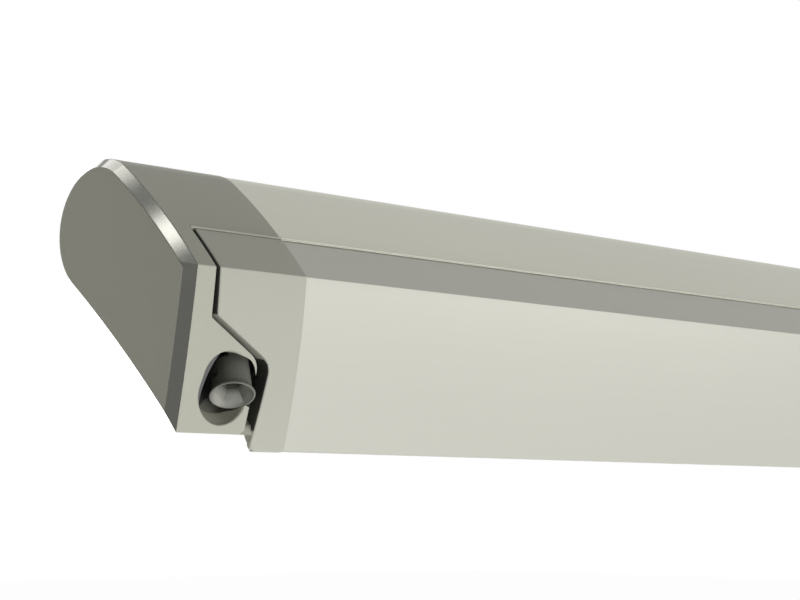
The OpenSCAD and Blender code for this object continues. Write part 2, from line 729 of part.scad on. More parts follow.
module hand_pins() {
  color([0.75, 0.75, 0.78]) for (s = [0, 1]) mirror([s, 0, 0]) on_arm() translate([0, -hand_v, 0]) {
    cylinder(h = 2 * ear_out, r = pin_r, center = true);
    for (k = [-1, 1]) translate([0, 0, k * (ear_out + 0.6)])
      cylinder(h = 1.2, r = pin_r + 1.5, center = true);
  }
}
module front_keder() {
  color([0.85, 0.85, 0.83]) rod(fabric_inset, length - fabric_inset, groove_c, keder_r - 0.3);
}

// Legs, folded in the lane under the shelf of the lead rail
module at_leg(x) { translate([leg_inset + x - length / 2, leg_mid.x, leg_mid.y]) children(); }
module leg_bracket() {
  in = leg_w / 2 + side_fit;
  ear = leg_y - shelf_back - wall - in;
  color([0.30, 0.30, 0.30]) difference() {
    at_leg(0) union() {
      for (s = [-1, 1]) translate([0, s * (in + ear / 2), 0]) {
        rotate([90, 0, 0]) cylinder(h = ear, r = 9, center = true);
        translate([-9, -ear / 2, 0]) cube([18, ear, leg_z - shelf_z]);
      }
      translate([-16, -in - ear, leg_z - shelf_z - 2]) cube([32, 2 * (in + ear), 2]);
    }
    at_leg(0) rotate([90, 0, 0]) cylinder(h = 60, r = 3, center = true);
  }
}
module leg_bracket_left() { leg_bracket(); }
module leg_bracket_right() { flip() leg_bracket(); }
module leg_pins() {
  color([0.75, 0.75, 0.78]) for (s = [0, 1]) mirror([s, 0, 0]) at_leg(0) rotate([90, 0, 0])
    cylinder(h = 2 * (leg_y - shelf_back - wall), r = 3, center = true);
}
catch_x = 700;
module leg_catches() {
  half = leg_w / 2 + side_fit;
  t = leg_y - shelf_back - wall - half;
  color([0.20, 0.20, 0.20]) for (s = [0, 1]) mirror([s, 0, 0]) at_leg(catch_x) {
    for (y = [half, -half - t]) translate([-12, y, -8]) cube([24, t, leg_z - shelf_z + 8]);
    translate([-12, -half - t, leg_h / 2 + side_fit])
      cube([24, 2 * (half + t), leg_z - shelf_z - leg_h / 2 - side_fit]);
  }
}
module leg_outer() {
  color([0.80, 0.80, 0.78]) at_leg(0) difference() {
    union() {
      rotate([90, 0, 0]) cylinder(h = leg_w, r = leg_knuckle_r, center = true);
      translate([0, -leg_w / 2, -leg_h / 2]) cube([24, leg_w, leg_h]);
      translate([20, 0, 0]) box_tube(leg_w, leg_h, leg_wall, leg_outer_len - 20);
    }
    rotate([90, 0, 0]) cylinder(h = big, r = 3 + run_fit, center = true);
  }
}
module leg_collar() {
  color([0.16, 0.16, 0.16]) at_leg(leg_outer_len) difference() {
    union() {
      translate([-collar_len + 8, 0, 0]) rotate([90, 0, 90]) linear_extrude(collar_len)
        polygon(rounded_box(leg_w + 2, leg_h + 2.4, 2.5));
      for (s = [-1, 1]) translate([0, s * 6.5, -leg_h / 2 - 4]) rotate([90, 0, 0])
        cylinder(h = 3, r = 4, center = true);
      translate([-4, -8, -leg_h / 2 - 3]) cube([8, 16, 2]);
    }
    translate([-collar_len, 0, 0]) plug(leg_w, leg_h, 0, collar_len);
    translate([-1, 0, 0]) plug(inner_w, inner_h, -side_fit, collar_len);
    translate([-6, -5.2, -leg_h / 2 - 12]) cube([12, 10.4, 11.3]);
    translate([0, 0, -leg_h / 2 - 4]) rotate([90, 0, 0])
      cylinder(h = big, r = lever_pin_r, center = true);
  }
}
module leg_lever() {
  color([0.10, 0.10, 0.10]) at_leg(leg_outer_len) translate([0, 0, -leg_h / 2 - 4.6]) {
    translate([0, 0, 0.6]) rotate([90, 0, 0]) cylinder(h = 9.6, r = 2.9, center = true);
    translate([0, 0, 0.6]) rotate([90, 0, 0])
      cylinder(h = 15.8, r = lever_pin_r - run_fit, center = true);
    translate([-lever_len, -4.8, -2.3]) cube([lever_len, 9.6, 2.9]);
    translate([-lever_len, -7, -3.3]) cube([14, 14, 2.9]);
  }
}
module leg_inner() {
  color([0.72, 0.72, 0.70]) at_leg(leg_root)
    box_tube(inner_w, inner_h, leg_wall, leg_outer_len + 12 - leg_root);
}
module leg_foot() {
  color([0.14, 0.14, 0.14]) at_leg(leg_outer_len + 12) difference() {
    union() {
      translate([-20, 0, 0]) plug(inner_w, inner_h, leg_wall, 24);
      rotate([90, 0, 90]) linear_extrude(foot_len) polygon(rounded_box(leg_w + 2, leg_h, 3));
    }
    for (s = [-1, 1]) translate([foot_len / 2, 0, s * 6]) rotate([90, 0, 0])
      cylinder(h = big, r = 2.6, center = true);
  }
}
module leg_outer_left() { leg_outer(); }
module leg_outer_right() { flip() leg_outer(); }
module leg_collar_left() { leg_collar(); }
module leg_collar_right() { flip() leg_collar(); }
module leg_lever_left() { leg_lever(); }
module leg_lever_right() { flip() leg_lever(); }
module leg_inner_left() { leg_inner(); }
module leg_inner_right() { flip() leg_inner(); }
module leg_foot_left() { leg_foot(); }
module leg_foot_right() { flip() leg_foot(); }

// Crank drive
fork_in = 5.8;
lug_half = 4.8;
cross_pin_r = 2.5;
module gearbox_housing() {
  color([0.28, 0.28, 0.28]) difference() {
    intersection() {
      union() {
        intersection() {
          across(-eye_y - 15, -38) cap_front_shape(cap_wall + 0.05);
          along(bevel + 6, lobe_x) translate([-big, -big]) square([2 * big, big + 12]);
        }
        along(bevel + 4, cap_len) translate([-56, -26]) square([24, 56]);
        on_shaft() translate([0, 0, cross_up]) cylinder(h = shaft_end - cross_up + 4, r = 14);
        rod(wheel_x - wheel_half - 6, cap_len, roll_c, wheel_r + 4);
      }
      along(bevel, cap_len - plate_t) polygon(cap_inset(cap_wall + 0.05));
    }
    on_shaft() rotate([0, 0, 180]) {
      translate([0, 0, -40]) cylinder(h = 40 + cross_up + 22, r = pocket_r);
      cylinder(h = shaft_end, r = shaft_r + run_fit);
      translate([0, 0, pass_t - 18]) cylinder(h = 36, r = worm_r + 0.6);
    }
    rod(wheel_x - wheel_half - 1, cap_len, roll_c, wheel_r + 0.8);
    rod(0, cap_len, roll_c, spindle_r + run_fit);
  }
}
module worm_shaft() {
  fork_up = cross_up + 12;
  n = 24;
  color([0.66, 0.66, 0.68]) on_shaft() {
    difference() {
      translate([0, 0, cross_up - 6]) cylinder(h = 24, r = eye_r - 0.5);
      translate([-20, -fork_in, cross_up - 8]) cube([40, 2 * fork_in, 20]);
      for (s = [0, 1]) mirror([s, 0, 0]) translate([lug_half, -20, cross_up - 8])
        cube([20, 40, 20]);
      translate([0, 0, cross_up]) rotate([90, 0, 0])
        cylinder(h = 60, r = cross_pin_r + run_fit, center = true);
    }
    translate([0, 0, fork_up + 2]) cylinder(h = shaft_end - fork_up - 6, r = shaft_r);
    translate([0, 0, pass_t - 14]) linear_extrude(height = 28, twist = -3 * 28 * 8, slices = 16)
      polygon([for (i = [0:n - 1]) (worm_r - 1.2 + 1.2 * cos(3 * i * 360 / n))
        * [cos(i * 360 / n), sin(i * 360 / n)]]);
  }
}
module crank_cross() {
  color([0.45, 0.45, 0.46]) on_shaft() translate([0, 0, cross_up]) {
    cube([9, 9, 7], center = true);
    rotate([90, 0, 0]) cylinder(h = 2 * (eye_r - 1), r = cross_pin_r, center = true);
    rotate([0, 90, 0]) cylinder(h = 2 * eye_r, r = cross_pin_r, center = true);
  }
}
module crank_eye() {
  flare = 12;
  color([0.42, 0.42, 0.40]) on_shaft() difference() {
    union() {
      rotate_extrude() polygon(concat([[0, 0], [mouth_r - 0.8, 0], [mouth_r, 0.8]],
        [for (i = [0:8]) [eye_r + (mouth_r - eye_r) * pow(1 - i / 8, 1.7), 1 + (flare - 1) * i / 8]],
        [[eye_r, cross_up - 11], [0, cross_up - 11]]));
      intersection() {
        translate([0, 0, 8]) cylinder(h = cross_up - 8 + 5.5, r = eye_r);
        for (s = [0, 1]) mirror([s, 0, 0]) translate([fork_in, -lug_half, cross_up - 14])
          cube([20, 2 * lug_half, 30]);
      }
    }
    translate([0, 0, -1]) rotate_extrude() polygon(
      [[0, 0], [mouth_r - 2.4, 0], [mouth_r - 3, 1.4], [mouth_r - 5.4, 6], [eye_r - 2.8, 11], [0, 11]]);
    translate([0, 0, 3]) cylinder(h = 18, r = eye_r - 3, $fn = 6);
    translate([0, 0, cross_up]) rotate([0, 90, 0])
      cylinder(h = 60, r = cross_pin_r + run_fit, center = true);
  }
}

cassette_profile();
end_cap_left();
end_cap_right();
end_plate_left();
end_plate_right();
plate_screws();
roller_bearings();
gearbox_housing();
shoulder_bracket_left();
shoulder_bracket_right();
shoulder_pins();
shoulder_bolts();
cassette_seal();
roller_tube();
roller_plug_left();
roller_plug_right();
worm_wheel();
fabric_roll();
canopy();
upper_arm_left();
upper_arm_right();
shoulder_knuckle_left();
shoulder_knuckle_right();
elbow_yoke_left();
elbow_yoke_right();
arm_spring_left();
arm_spring_right();
forearm_left();
forearm_right();
elbow_tongue_left();
elbow_tongue_right();
elbow_pin_left();
elbow_pin_right();
hand_knuckle_left();
hand_knuckle_right();
lead_rail_profile();
rail_end_cap_left();
rail_end_cap_right();
hand_bracket_left();
hand_bracket_right();
hand_pins();
leg_bracket_left();
leg_bracket_right();
leg_pins();
leg_catches();
front_keder();
leg_outer_left();
leg_outer_right();
leg_collar_left();
leg_collar_right();
leg_lever_left();
leg_lever_right();
leg_inner_left();
leg_inner_right();
leg_foot_left();
leg_foot_right();
worm_shaft();
crank_cross();
crank_eye();
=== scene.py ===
# Roll out awning for a camper: the looks of every piece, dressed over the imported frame.
# The file follows the awning as it is put together, from the case outward to the legs.
import math
import bmesh
import bpy
from mathutils import Matrix, Vector


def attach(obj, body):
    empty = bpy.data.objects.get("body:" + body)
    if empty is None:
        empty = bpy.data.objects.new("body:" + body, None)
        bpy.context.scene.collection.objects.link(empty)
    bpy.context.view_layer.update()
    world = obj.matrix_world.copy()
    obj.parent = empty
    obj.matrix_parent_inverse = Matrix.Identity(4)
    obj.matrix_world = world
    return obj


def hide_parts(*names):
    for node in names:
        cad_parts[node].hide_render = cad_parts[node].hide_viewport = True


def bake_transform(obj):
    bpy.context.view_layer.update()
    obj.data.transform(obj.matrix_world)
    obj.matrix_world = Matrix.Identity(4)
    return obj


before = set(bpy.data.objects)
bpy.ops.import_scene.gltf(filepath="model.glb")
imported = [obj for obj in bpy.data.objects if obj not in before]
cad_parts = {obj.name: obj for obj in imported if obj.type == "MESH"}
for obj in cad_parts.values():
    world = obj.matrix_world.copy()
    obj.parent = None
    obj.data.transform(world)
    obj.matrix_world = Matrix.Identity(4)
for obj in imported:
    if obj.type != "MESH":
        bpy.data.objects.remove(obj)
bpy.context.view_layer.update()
mm = 0.001

# Camera and studio
# A long lens looks up at the crank end of the case from in front, with a white floor far
# below and white all round. A wide key lamp lights the front, others light the end, the back
# and the crest, and small ones put the bright patches on the polished bevel.
bpy.context.scene.view_settings.view_transform = "Standard"
camera = bpy.data.objects.new("camera", bpy.data.cameras.new("camera"))
bpy.context.scene.collection.objects.link(camera)
camera_place = Vector((-2.4673, -1.0079, -0.1079))
camera_aim = Vector((0.6936, 0.7115, 0.1126))
camera.data.lens = 85
camera.location = camera_place
camera.rotation_euler = camera_aim.to_track_quat("-Z", "Y").to_euler()
bpy.context.scene.camera = camera


def lamp(name, toward, strength, angle):
    """A far lamp: toward is where it stands, seen from the awning."""
    light = bpy.data.lights.new(name, "SUN")
    light.energy = strength * math.pi
    light.angle = math.radians(angle)
    holder = bpy.data.objects.new(name, light)
    holder.rotation_euler = Vector(toward).to_track_quat("Z", "Y").to_euler()
    bpy.context.scene.collection.objects.link(holder)


lamp("key_lamp", (0.30, -0.78, -0.62), 0.75, 50)
lamp("sheen_lamp", (0.73, -0.69, -0.03), 0.09, 12)
lamp("end_lamp", (-0.95, -0.25, 0.0), 0.01, 60)
lamp("back_lamp", (0.20, 0.85, 0.10), 0.50, 60)
lamp("crest_lamp", (-0.12, 0.55, 0.83), 0.23, 29)
lamp("crest_glint", (-0.31, 0.28, 0.90), 0.035, 9)
lamp("slope_glint", (-0.452, 0.046, 0.891), 0.026, 5.5)


class Value:
    """A number in a material. Written sums on it become Math nodes."""

    def __init__(self, finish, socket):
        self.finish, self.socket = finish, socket

    def sum(self, operation, *terms):
        return self.finish.node("Math", {"operation": operation}, terms)

    def __add__(self, other):
        return self.sum("ADD", self, other)

    __radd__ = __add__

    def __sub__(self, other):
        return self.sum("SUBTRACT", self, other)

    def __mul__(self, other):
        return self.sum("MULTIPLY", self, other)


class Finish:
    """A material being written: its nodes, and the surface shader that they feed."""

    def __init__(self, name, colour, roughness, metallic=0.0):
        self.material = bpy.data.materials.new(name)
        self.material.use_nodes = True
        self.tree = self.material.node_tree
        self.surface = self.tree.nodes["Principled BSDF"]
        self.set("Base Color", (*colour, 1.0))
        self.set("Roughness", roughness)
        self.set("Metallic", metallic)
        self.colour = colour

    def set(self, name, value):
        socket = self.surface.inputs[name]
        if isinstance(value, Value):
            self.tree.links.new(value.socket, socket)
        else:
            socket.default_value = value

    def node(self, kind, settings=None, feeds=(), out=0):
        """A node of that type: its settings first, then what feeds its sockets."""
        made = self.tree.nodes.new("ShaderNode" + kind)
        for name, value in (settings or {}).items():
            if name == "stops":
                ramp = made.color_ramp.elements
                for element, (place, shade) in zip(list(ramp), value):
                    element.position, element.color = place, shade
            else:
                setattr(made, name, value)
        for key, value in feeds.items() if isinstance(feeds, dict) else enumerate(feeds):
            if value is None:
                continue
            if isinstance(value, Value):
                self.tree.links.new(value.socket, made.inputs[key])
            else:
                made.inputs[key].default_value = value
        return Value(self, made.outputs[out])

    def place(self, scale=(1.0, 1.0, 1.0), turn=(0.0, 0.0, 0.0)):
        """Where a point is on the piece, in metres, stretched by scale."""
        at = self.node("TexCoord", out="Object")
        return self.node("Mapping", {}, {"Vector": at, "Scale": scale, "Rotation": turn})

    def noise(self, scale, detail=2.0, stretch=(1.0, 1.0, 1.0)):
        return self.node("TexNoise", {}, {
            "Vector": self.place(stretch), "Scale": scale, "Detail": detail})

    def tint(self, share, other):
        """The base colour goes toward another one by a share from 0 to 1."""
        mix = self.node("Mix", {"data_type": "RGBA"},
                        {0: share, 6: (*self.colour, 1.0), 7: (*other, 1.0)}, out=2)
        self.set("Base Color", mix)

    def shade(self, share, factor):
        """The base colour goes darker by a share, down to a factor of itself."""
        self.tint(share, tuple(c * factor for c in self.colour))

    def bump(self, height, depth):
        """Raised detail: height runs from 0 to 1 and depth is in metres."""
        self.set("Normal", self.node("Bump", {}, {
            "Strength": 1.0, "Distance": depth, "Height": height}))


floor_size = 60.0
floor_z = -2.62
floor_glow = 0.97
floor_mesh = bpy.data.meshes.new("floor")
floor_mesh.from_pydata([(x * floor_size, y * floor_size, floor_z)
                        for x, y in ((-1, -1), (1, -1), (1, 1), (-1, 1))], [], [(0, 1, 2, 3)])
floor = bpy.data.objects.new("floor", floor_mesh)
bpy.context.scene.collection.objects.link(floor)
floor.visible_shadow = False


def white_to_eye(tree, plain, glow_kind, output, share):
    """Mixes a share of white glow over a shader, for camera, gloss and glass rays."""
    path = tree.nodes.new("ShaderNodeLightPath")
    glow = tree.nodes.new(glow_kind)
    glow.inputs["Color"].default_value = (1, 1, 1, 1)
    mix = tree.nodes.new("ShaderNodeMixShader")
    seen = path.outputs["Is Camera Ray"]
    for ray in ("Is Glossy Ray", "Is Transmission Ray"):
        either = tree.nodes.new("ShaderNodeMath")
        either.operation = "MAXIMUM"
        tree.links.new(seen, either.inputs[0])
        tree.links.new(path.outputs[ray], either.inputs[1])
        seen = either.outputs[0]
    scaled = tree.nodes.new("ShaderNodeMath")
    scaled.operation = "MULTIPLY"
    scaled.inputs[1].default_value = share
    tree.links.new(seen, scaled.inputs[0])
    tree.links.new(scaled.outputs[0], mix.inputs[0])
    tree.links.new(plain, mix.inputs[1])
    tree.links.new(glow.outputs[0], mix.inputs[2])
    tree.links.new(mix.outputs[0], output)


floor_paint = Finish("floor_white", (0.86, 0.86, 0.85), 0.9)
floor_paint.set("Roughness", floor_paint.noise(3.0) * 0.1 + 0.85)
white_to_eye(floor_paint.tree, floor_paint.surface.outputs[0], "ShaderNodeEmission",
             floor_paint.tree.nodes["Material Output"].inputs["Surface"], floor_glow)
floor_mesh.materials.append(floor_paint.material)
world = bpy.data.worlds.new("studio")
bpy.context.scene.world = world
world.use_nodes = True
sky = world.node_tree.nodes["Background"]
sky.inputs["Color"].default_value = (1.0, 1.0, 0.85, 1.0)
sky.inputs["Strength"].default_value = 0.08
white_to_eye(world.node_tree, sky.outputs[0], "ShaderNodeBackground",
             world.node_tree.nodes["World Output"].inputs["Surface"], 1.0)

# Case profile
# One long extrusion in painted aluminium: a floor, a round back about the fabric roll and a
# slope that ends at the seam. Inside are three screw ports, the bead that guides the fabric
# and two bracket grooves under the seat.
length = 3500
cap_len = 97
back_r = 48.5
seat_angle = 41.3
seat_run = 63.7
crest_angle = 120.6
crest_ease = 1.9
slope_bulge = 2.8
front_bulge = 3.0
wall = 2.0
skin_drop = 0.4      # the profiles stand this much below the cast caps
seam_share = 0.36
seam_gap = 1.2
floor_y = 31
crease = Vector((-85.4, 46.6))
foot = Vector((-62.8, -67.3))


def polar(angle, r=1.0):
    return Vector((r * math.cos(math.radians(angle)), r * math.sin(math.radians(angle))))


def heading(v):
    return math.degrees(math.atan2(v.y, v.x))


def left(v):
    return Vector((-v.y, v.x)).normalized()


def arc(centre, r, start, stop, steps):
    return [centre + polar(start + (stop - start) * i / steps, r) for i in range(steps + 1)]


def bow(p, q, bulge):
    """Centre of the arc from p to q that bulges to the right of that line."""
    half = (q - p).length / 2
    return (p + q) / 2 + left(q - p) * ((half * half - bulge * bulge) / (2 * bulge))


def bow_points(p, q, bulge, share, until, steps):
    """Points of that arc from one share of it to another."""
    centre = bow(p, q, bulge)
    start = heading(p - centre)
    turn = (heading(q - centre) - start + 540) % 360 - 180
    return arc(centre, (p - centre).length, start + turn * share, start + turn * until, steps)


def fillet(a, b, c, r, steps=5):
    """Round corner at b on the way from a to c."""
    u, v = (a - b).normalized(), (c - b).normalized()
    half = u.angle(v) / 2
    middle = b + (u + v).normalized() * (r / math.sin(half))
    p, q = b + u * (r / math.tan(half)), b + v * (r / math.tan(half))
    return [middle + ((p - middle).lerp(q - middle, i / steps)).normalized() * r
            for i in range(steps + 1)]


def mitre(a, b, c, d):
    """b moved to the left of the path a, b, c by d."""
    m, n = left(b - a), left(c - b)
    return b + (m + n) * (d / (1 + m.dot(n)))


def shifted(path, d):
    """An open path moved to its left."""
    ends = [path[0] + left(path[1] - path[0]) * d], [path[-1] + left(path[-1] - path[-2]) * d]
    return ends[0] + [mitre(path[i - 1], path[i], path[i + 1], d)
                      for i in range(1, len(path) - 1)] + ends[1]


def strip(path, t, round_ends=True):
    """A wall of thickness t on the left of an open path, with rounded ends."""
    near, far = path, shifted(path, t)[::-1]
    if not round_ends:
        return near + far
    r = t * 0.45
    return (fillet(far[-1], near[0], near[1], r, 3) + near[1:-1]
            + fillet(near[-2], near[-1], far[0], r, 3)
            + fillet(near[-1], far[0], far[1], r, 3) + far[1:-1]
            + fillet(far[-2], far[-1], near[0], r, 3))


def ring(centre, r, steps=24):
    return [centre + polar(360 * i / steps, r) for i in range(steps)]


def new_piece(name, mesh, finish, sharp=32):
    """An object from a mesh, smooth but for the edges sharper than that angle."""
    piece = bpy.data.objects.new(name, mesh)
    bpy.context.scene.collection.objects.link(piece)
    mesh.shade_smooth()
    mesh.set_sharp_from_angle(angle=math.radians(sharp))
    mesh.materials.clear()
    mesh.materials.append(finish.material)
    even = piece.modifiers.new("even", "WEIGHTED_NORMAL")
    even.keep_sharp = True
    settled(piece)
    return piece


def as_mesh(name, shape):
    """A finished shape as a mesh."""
    mesh = bpy.data.meshes.new(name)
    shape.to_mesh(mesh)
    shape.free()
    return mesh


def prisms(name, loops):
    """A mesh of closed prisms along the awning: each loop is its outline in Y and Z, and
    where it starts and stops along X from the crank end, all in millimetres."""
    shape = bmesh.new()
    for outline, start, stop in loops:
        area = sum(p.x * q.y - q.x * p.y for p, q in zip(outline, outline[1:] + outline[:1]))
        outline = outline if area > 0 else outline[::-1]
        ends = [[shape.verts.new(((x - length / 2) * mm, p.x * mm, p.y * mm)) for p in outline]
                for x in (start, stop)]
        shape.faces.new(ends[0][::-1])
        shape.faces.new(ends[1])
        for i in range(len(outline)):
            k = (i + 1) % len(outline)
            shape.faces.new((ends[0][i], ends[0][k], ends[1][k], ends[1][i]))
    return as_mesh(name, shape)


def settled(piece):
    """The piece with its modifiers turned into plain mesh."""
    made = bpy.data.meshes.new_from_object(
        piece.evaluated_get(bpy.context.evaluated_depsgraph_get()))
    piece.modifiers.clear()
    piece.data = made
    return made


def welded(name, solid, cut=None):
    """One clean skin from a mesh of solids that overlap, less the cut where there is one."""
    piece = bpy.data.objects.new(name, solid)
    knife = bpy.data.objects.new(name + "_cut", cut or prisms(
        "far_off", [(ring(Vector((900, 900)), 1, 3), 0, 1)]))
    for made in (piece, knife):
        bpy.context.scene.collection.objects.link(made)
    weld = piece.modifiers.new("weld", "BOOLEAN")
    weld.operation, weld.solver, weld.use_self, weld.object = "DIFFERENCE", "EXACT", True, knife
    mesh = settled(piece)
    bpy.data.objects.remove(piece)
    bpy.data.objects.remove(knife)
    return mesh


seat_dir = polar(seat_angle)
roll_c = seat_dir * seat_run + left(seat_dir) * back_r
slope_end = roll_c + polar(crest_angle, back_r - crest_ease)
slope_out = (slope_end - bow(slope_end, crease, slope_bulge)).normalized()
off_roll = slope_end - roll_c
crest_r = ((back_r ** 2 - off_roll.length_squared)
           / (2 * (back_r - off_roll.dot(slope_out))))
crest_c = slope_end - slope_out * crest_r
join_angle = heading(crest_c - roll_c)
back_line = (arc(roll_c, back_r, seat_angle - 90, join_angle, 60)[:-1]
             + arc(crest_c, crest_r, join_angle, heading(slope_out), 16))
case_slope = bow_points(slope_end, crease, slope_bulge, 0, 1 - seam_share, 14)
seam = case_slope[-1]
seam_along = (case_slope[-1] - case_slope[-2]).normalized()
seam_in = left(seam_along)
floor_end = seat_dir * (-floor_y / seat_dir.x)
case_line = [floor_end] + back_line[:-1] + case_slope

groove_at = (-24, 50)
rib_w, rib_h, rib_root, slot_w = 16, 8, skin_drop + 0.2, 7
port_angles = (62, 18, -30)
roll_d = 78
port_r, port_hole, web_half = 2.8, 1.75, 1.2
seam_bead_r = 0.6
port_out = roll_d / 2 + port_r + 0.4
bead_r = 2.5
bead_c = seam + seam_in * 7 - seam_along * 2


def on_seat(run, up):
    return seat_dir * run + left(seat_dir) * up


case_walls = [strip(shifted(case_line, skin_drop), wall - skin_drop)]
case_cuts = []
for run in groove_at:
    half = rib_w / 2
    case_walls.append([on_seat(run + x, y) for x, y in (
        (-half, rib_root), (half, rib_root), (half, rib_h), (-half, rib_h))])
    case_cuts += [[on_seat(run + x, y) for x, y in (
        (2 - half, wall), (half - 2, wall), (half - 2, rib_h - wall), (2 - half, rib_h - wall))],
        [on_seat(run + x, y) for x, y in (
            (-slot_w / 2, -2), (slot_w / 2, -2), (slot_w / 2, wall + 1), (-slot_w / 2, wall + 1))]]
for angle in port_angles:
    port = roll_c + polar(angle, port_out)
    side = left(polar(angle)) * web_half
    out = polar(angle, back_r - web_half - (port - roll_c).length)
    case_walls += [ring(port, port_r), [port - side, port - side + out, port + side + out,
                                        port + side]]
    case_cuts.append(ring(port, port_hole))
case_walls += [ring(bead_c, bead_r), ring(seam - seam_along * 0.5 - seam_in * 0.1, seam_bead_r, 12),
               [seam - seam_along * 2.9 + seam_in, seam - seam_along * 1.1 + seam_in,
                bead_c + seam_along * 0.9, bead_c - seam_along * 0.9],
               [floor_end + Vector(p) for p in ((0, 0.8), (wall, 1.2), (wall, 11), (0, 11))]]
profile_ends = (cap_len, length - cap_len)
cut_over = 9
cut_ends = (cap_len - cut_over, length - cap_len + cut_over)
case_mesh = welded("cassette_profile_skin",
                   prisms("case", [(w, *profile_ends) for w in case_walls]),
                   prisms("cuts", [(c, *cut_ends) for c in case_cuts]))


def coated_extrusion(name, colour, shade, shine):
    """Powder coat over an extrusion: a fine grain, soft clouding and faint draw lines."""
    paint = Finish(name, colour, 0.42, shine)
    paint.set("Specular IOR Level", 0.25)
    grain = paint.noise(1500, 3)
    lines = paint.noise(260, 2, (0.012, 1, 1))
    cloud = paint.noise(9, 3, (0.5, 1, 1))
    paint.shade((grain - 0.5) * 0.5 + (lines - 0.5) * 0.35 + cloud * 0.5, shade)
    paint.set("Roughness", 0.31 + grain * 0.09 + lines * 0.05)
    paint.bump(grain * 0.7 + lines * 0.3, 0.00003)
    return paint


case_paint = coated_extrusion("case_paint", (0.66, 0.66, 0.565), 0.90, 0.47)
case = new_piece("cassette_profile_skin", case_mesh, case_paint)
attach(case, "cassette")
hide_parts("cassette_profile")

# End caps
# Cast aluminium caps, painted warm grey, with a broad bevel round the outer face. The front
# is cut back along a kneed seam, with a raised lip along its edge, and the crank end has a
# slanted opening, with a scoop in its lower side, for the crank eye.
bevel = 6.5
cap_bulge = 1.2
under_hollow = 2.6
cap_wall = 3.0
bevel_r, front_r, end_r = 1.3, 1.5, 0.6
seam_x, knee_z, knee_fall, knee_lean = 20.8, 15, 30.5, 2.0
lobe_x, lobe_foot_x = 62.5, 58
knee_r, lobe_r = 3, 12
cap_gap = 2.2
flange_depth = 14
crease_room = 8.2
lip_r, lip_sink, lip_start = 0.9, 0.15, 10
edge_clear, crease_clear, least_turn = 0.3, 20, 0.004
eye_x, eye_y, eye_z = 47, 70.5, 33


def front_points(z, bulge, steps, edge=()):
    """Points of the front face from the crease down to a height, with one beside each point
    of the edge path. None lies so near the crease that moving inward would cross it."""
    centre = bow(crease, foot, bulge)
    r = (crease - centre).length
    start = heading(crease - centre) % 360
    stop = 180 + math.degrees(math.asin((centre.y - z) / r))
    turns = [start + (stop - start) * i / steps for i in range(steps + 1)]
    turns += [180 + math.degrees(math.asin((centre.y - p.y) / r)) for p in edge
              if z + edge_clear < p.y < crease.y - crease_clear]
    turns = sorted(turns)
    points = [centre + polar(a, r) for a, b in zip(turns, turns[1:]) if b - a > least_turn]
    return [p for p in points + [centre + polar(stop, r)] if (p - crease).length > crease_room]


def x_at(path, z):
    """How far along X a path of (X, Z) points is at a height."""
    for p, q in zip(path, path[1:]):
        if p.y >= z >= q.y and p.y > q.y:
            return p.x + (q.x - p.x) * (p.y - z) / (p.y - q.y)
    return path[-1].x if z < path[-1].y else path[0].x


fall = polar(-knee_fall)
knee = Vector((seam_x + knee_lean, knee_z))
lobe_top = knee + fall * ((lobe_x - seam_x + 1) / fall.x)
edge_top, edge_foot = Vector((seam_x, 90)), Vector((lobe_foot_x, -100))
cap_edge = ([edge_top] + fillet(edge_top, knee, lobe_top, knee_r)
            + fillet(knee, lobe_top, edge_foot, lobe_r, 12) + [edge_foot])


cap_front_c = bow(crease, foot, cap_bulge)
reach = -seat_dir.dot(cap_front_c)
seat_hit = seat_dir * -(reach + math.sqrt(
    reach ** 2 - cap_front_c.length_squared + (crease - cap_front_c).length_squared))
under_line = bow_points(seat_dir * seat_run, seat_hit, under_hollow, 0, 1, 16)[::-1]
slope_steps = 25
slope_to_crease = [p for p in bow_points(slope_end, crease, slope_bulge, 0, 1, slope_steps)
                   if (p - crease).length > crease_room]
crease_r = 1.2
cap_front = front_points(seat_hit.y, cap_bulge, 40, cap_edge)
crease_round = fillet(slope_to_crease[-1], crease, cap_front[0], crease_r, 3)
crease_at = len(under_line) + len(back_line) + len(slope_to_crease) - 2
cap_outline = (under_line[:-1] + back_line[:-1] + slope_to_crease + crease_round
               + cap_front[:-1])
tip_angle = (cap_outline[1] - cap_outline[0]).angle(cap_outline[-1] - cap_outline[0])
crease_in = (slope_to_crease[-1] - crease).normalized() + (cap_front[0] - crease).normalized()
crease_half = (slope_to_crease[-1] - crease).angle(cap_front[0] - crease) / 2


def crossing(a, u, b, v):
    """Where the line from a along u meets the line from b along v."""
    side = b - a
    return a + u * ((side.x * v.y - side.y * v.x) / (u.x * v.y - u.y * v.x))


def in_crease(point, d):
    """A point of the round crease moved in by d. The crease closes to a corner."""
    if d >= crease_r:
        return crease + crease_in.normalized() * (d / math.sin(crease_half))
    middle = crease + crease_in.normalized() * (crease_r / math.sin(crease_half))
    return middle + (point - middle) * (1 - d / crease_r)


def inward(k, d):
    """Outline point k of the cap moved in by d."""
    line = cap_outline
    if 0 <= k - crease_at < len(crease_round):
        return in_crease(line[k], d)
    return mitre(line[k - 1], line[k], line[(k + 1) % len(line)], d)


def cap_ring(d):
    """The cap's outline moved inward by d. Points that would cross at the tip fall together."""
    line, n = cap_outline, len(cap_outline)
    used = d / math.tan(tip_angle / 2) + 0.1
    first = next(k for k in range(1, n) if (line[k] - line[0]).length > used)
    last = next(k for k in range(n - 1, 0, -1) if (line[k] - line[0]).length > used)
    u, v = line[first] - line[first - 1], line[(last + 1) % n] - line[last]
    corner = crossing(line[first] + left(u) * d, u, line[last] + left(v) * d, v)
    return [inward(k, d) if first <= k <= last else corner for k in range(n)]


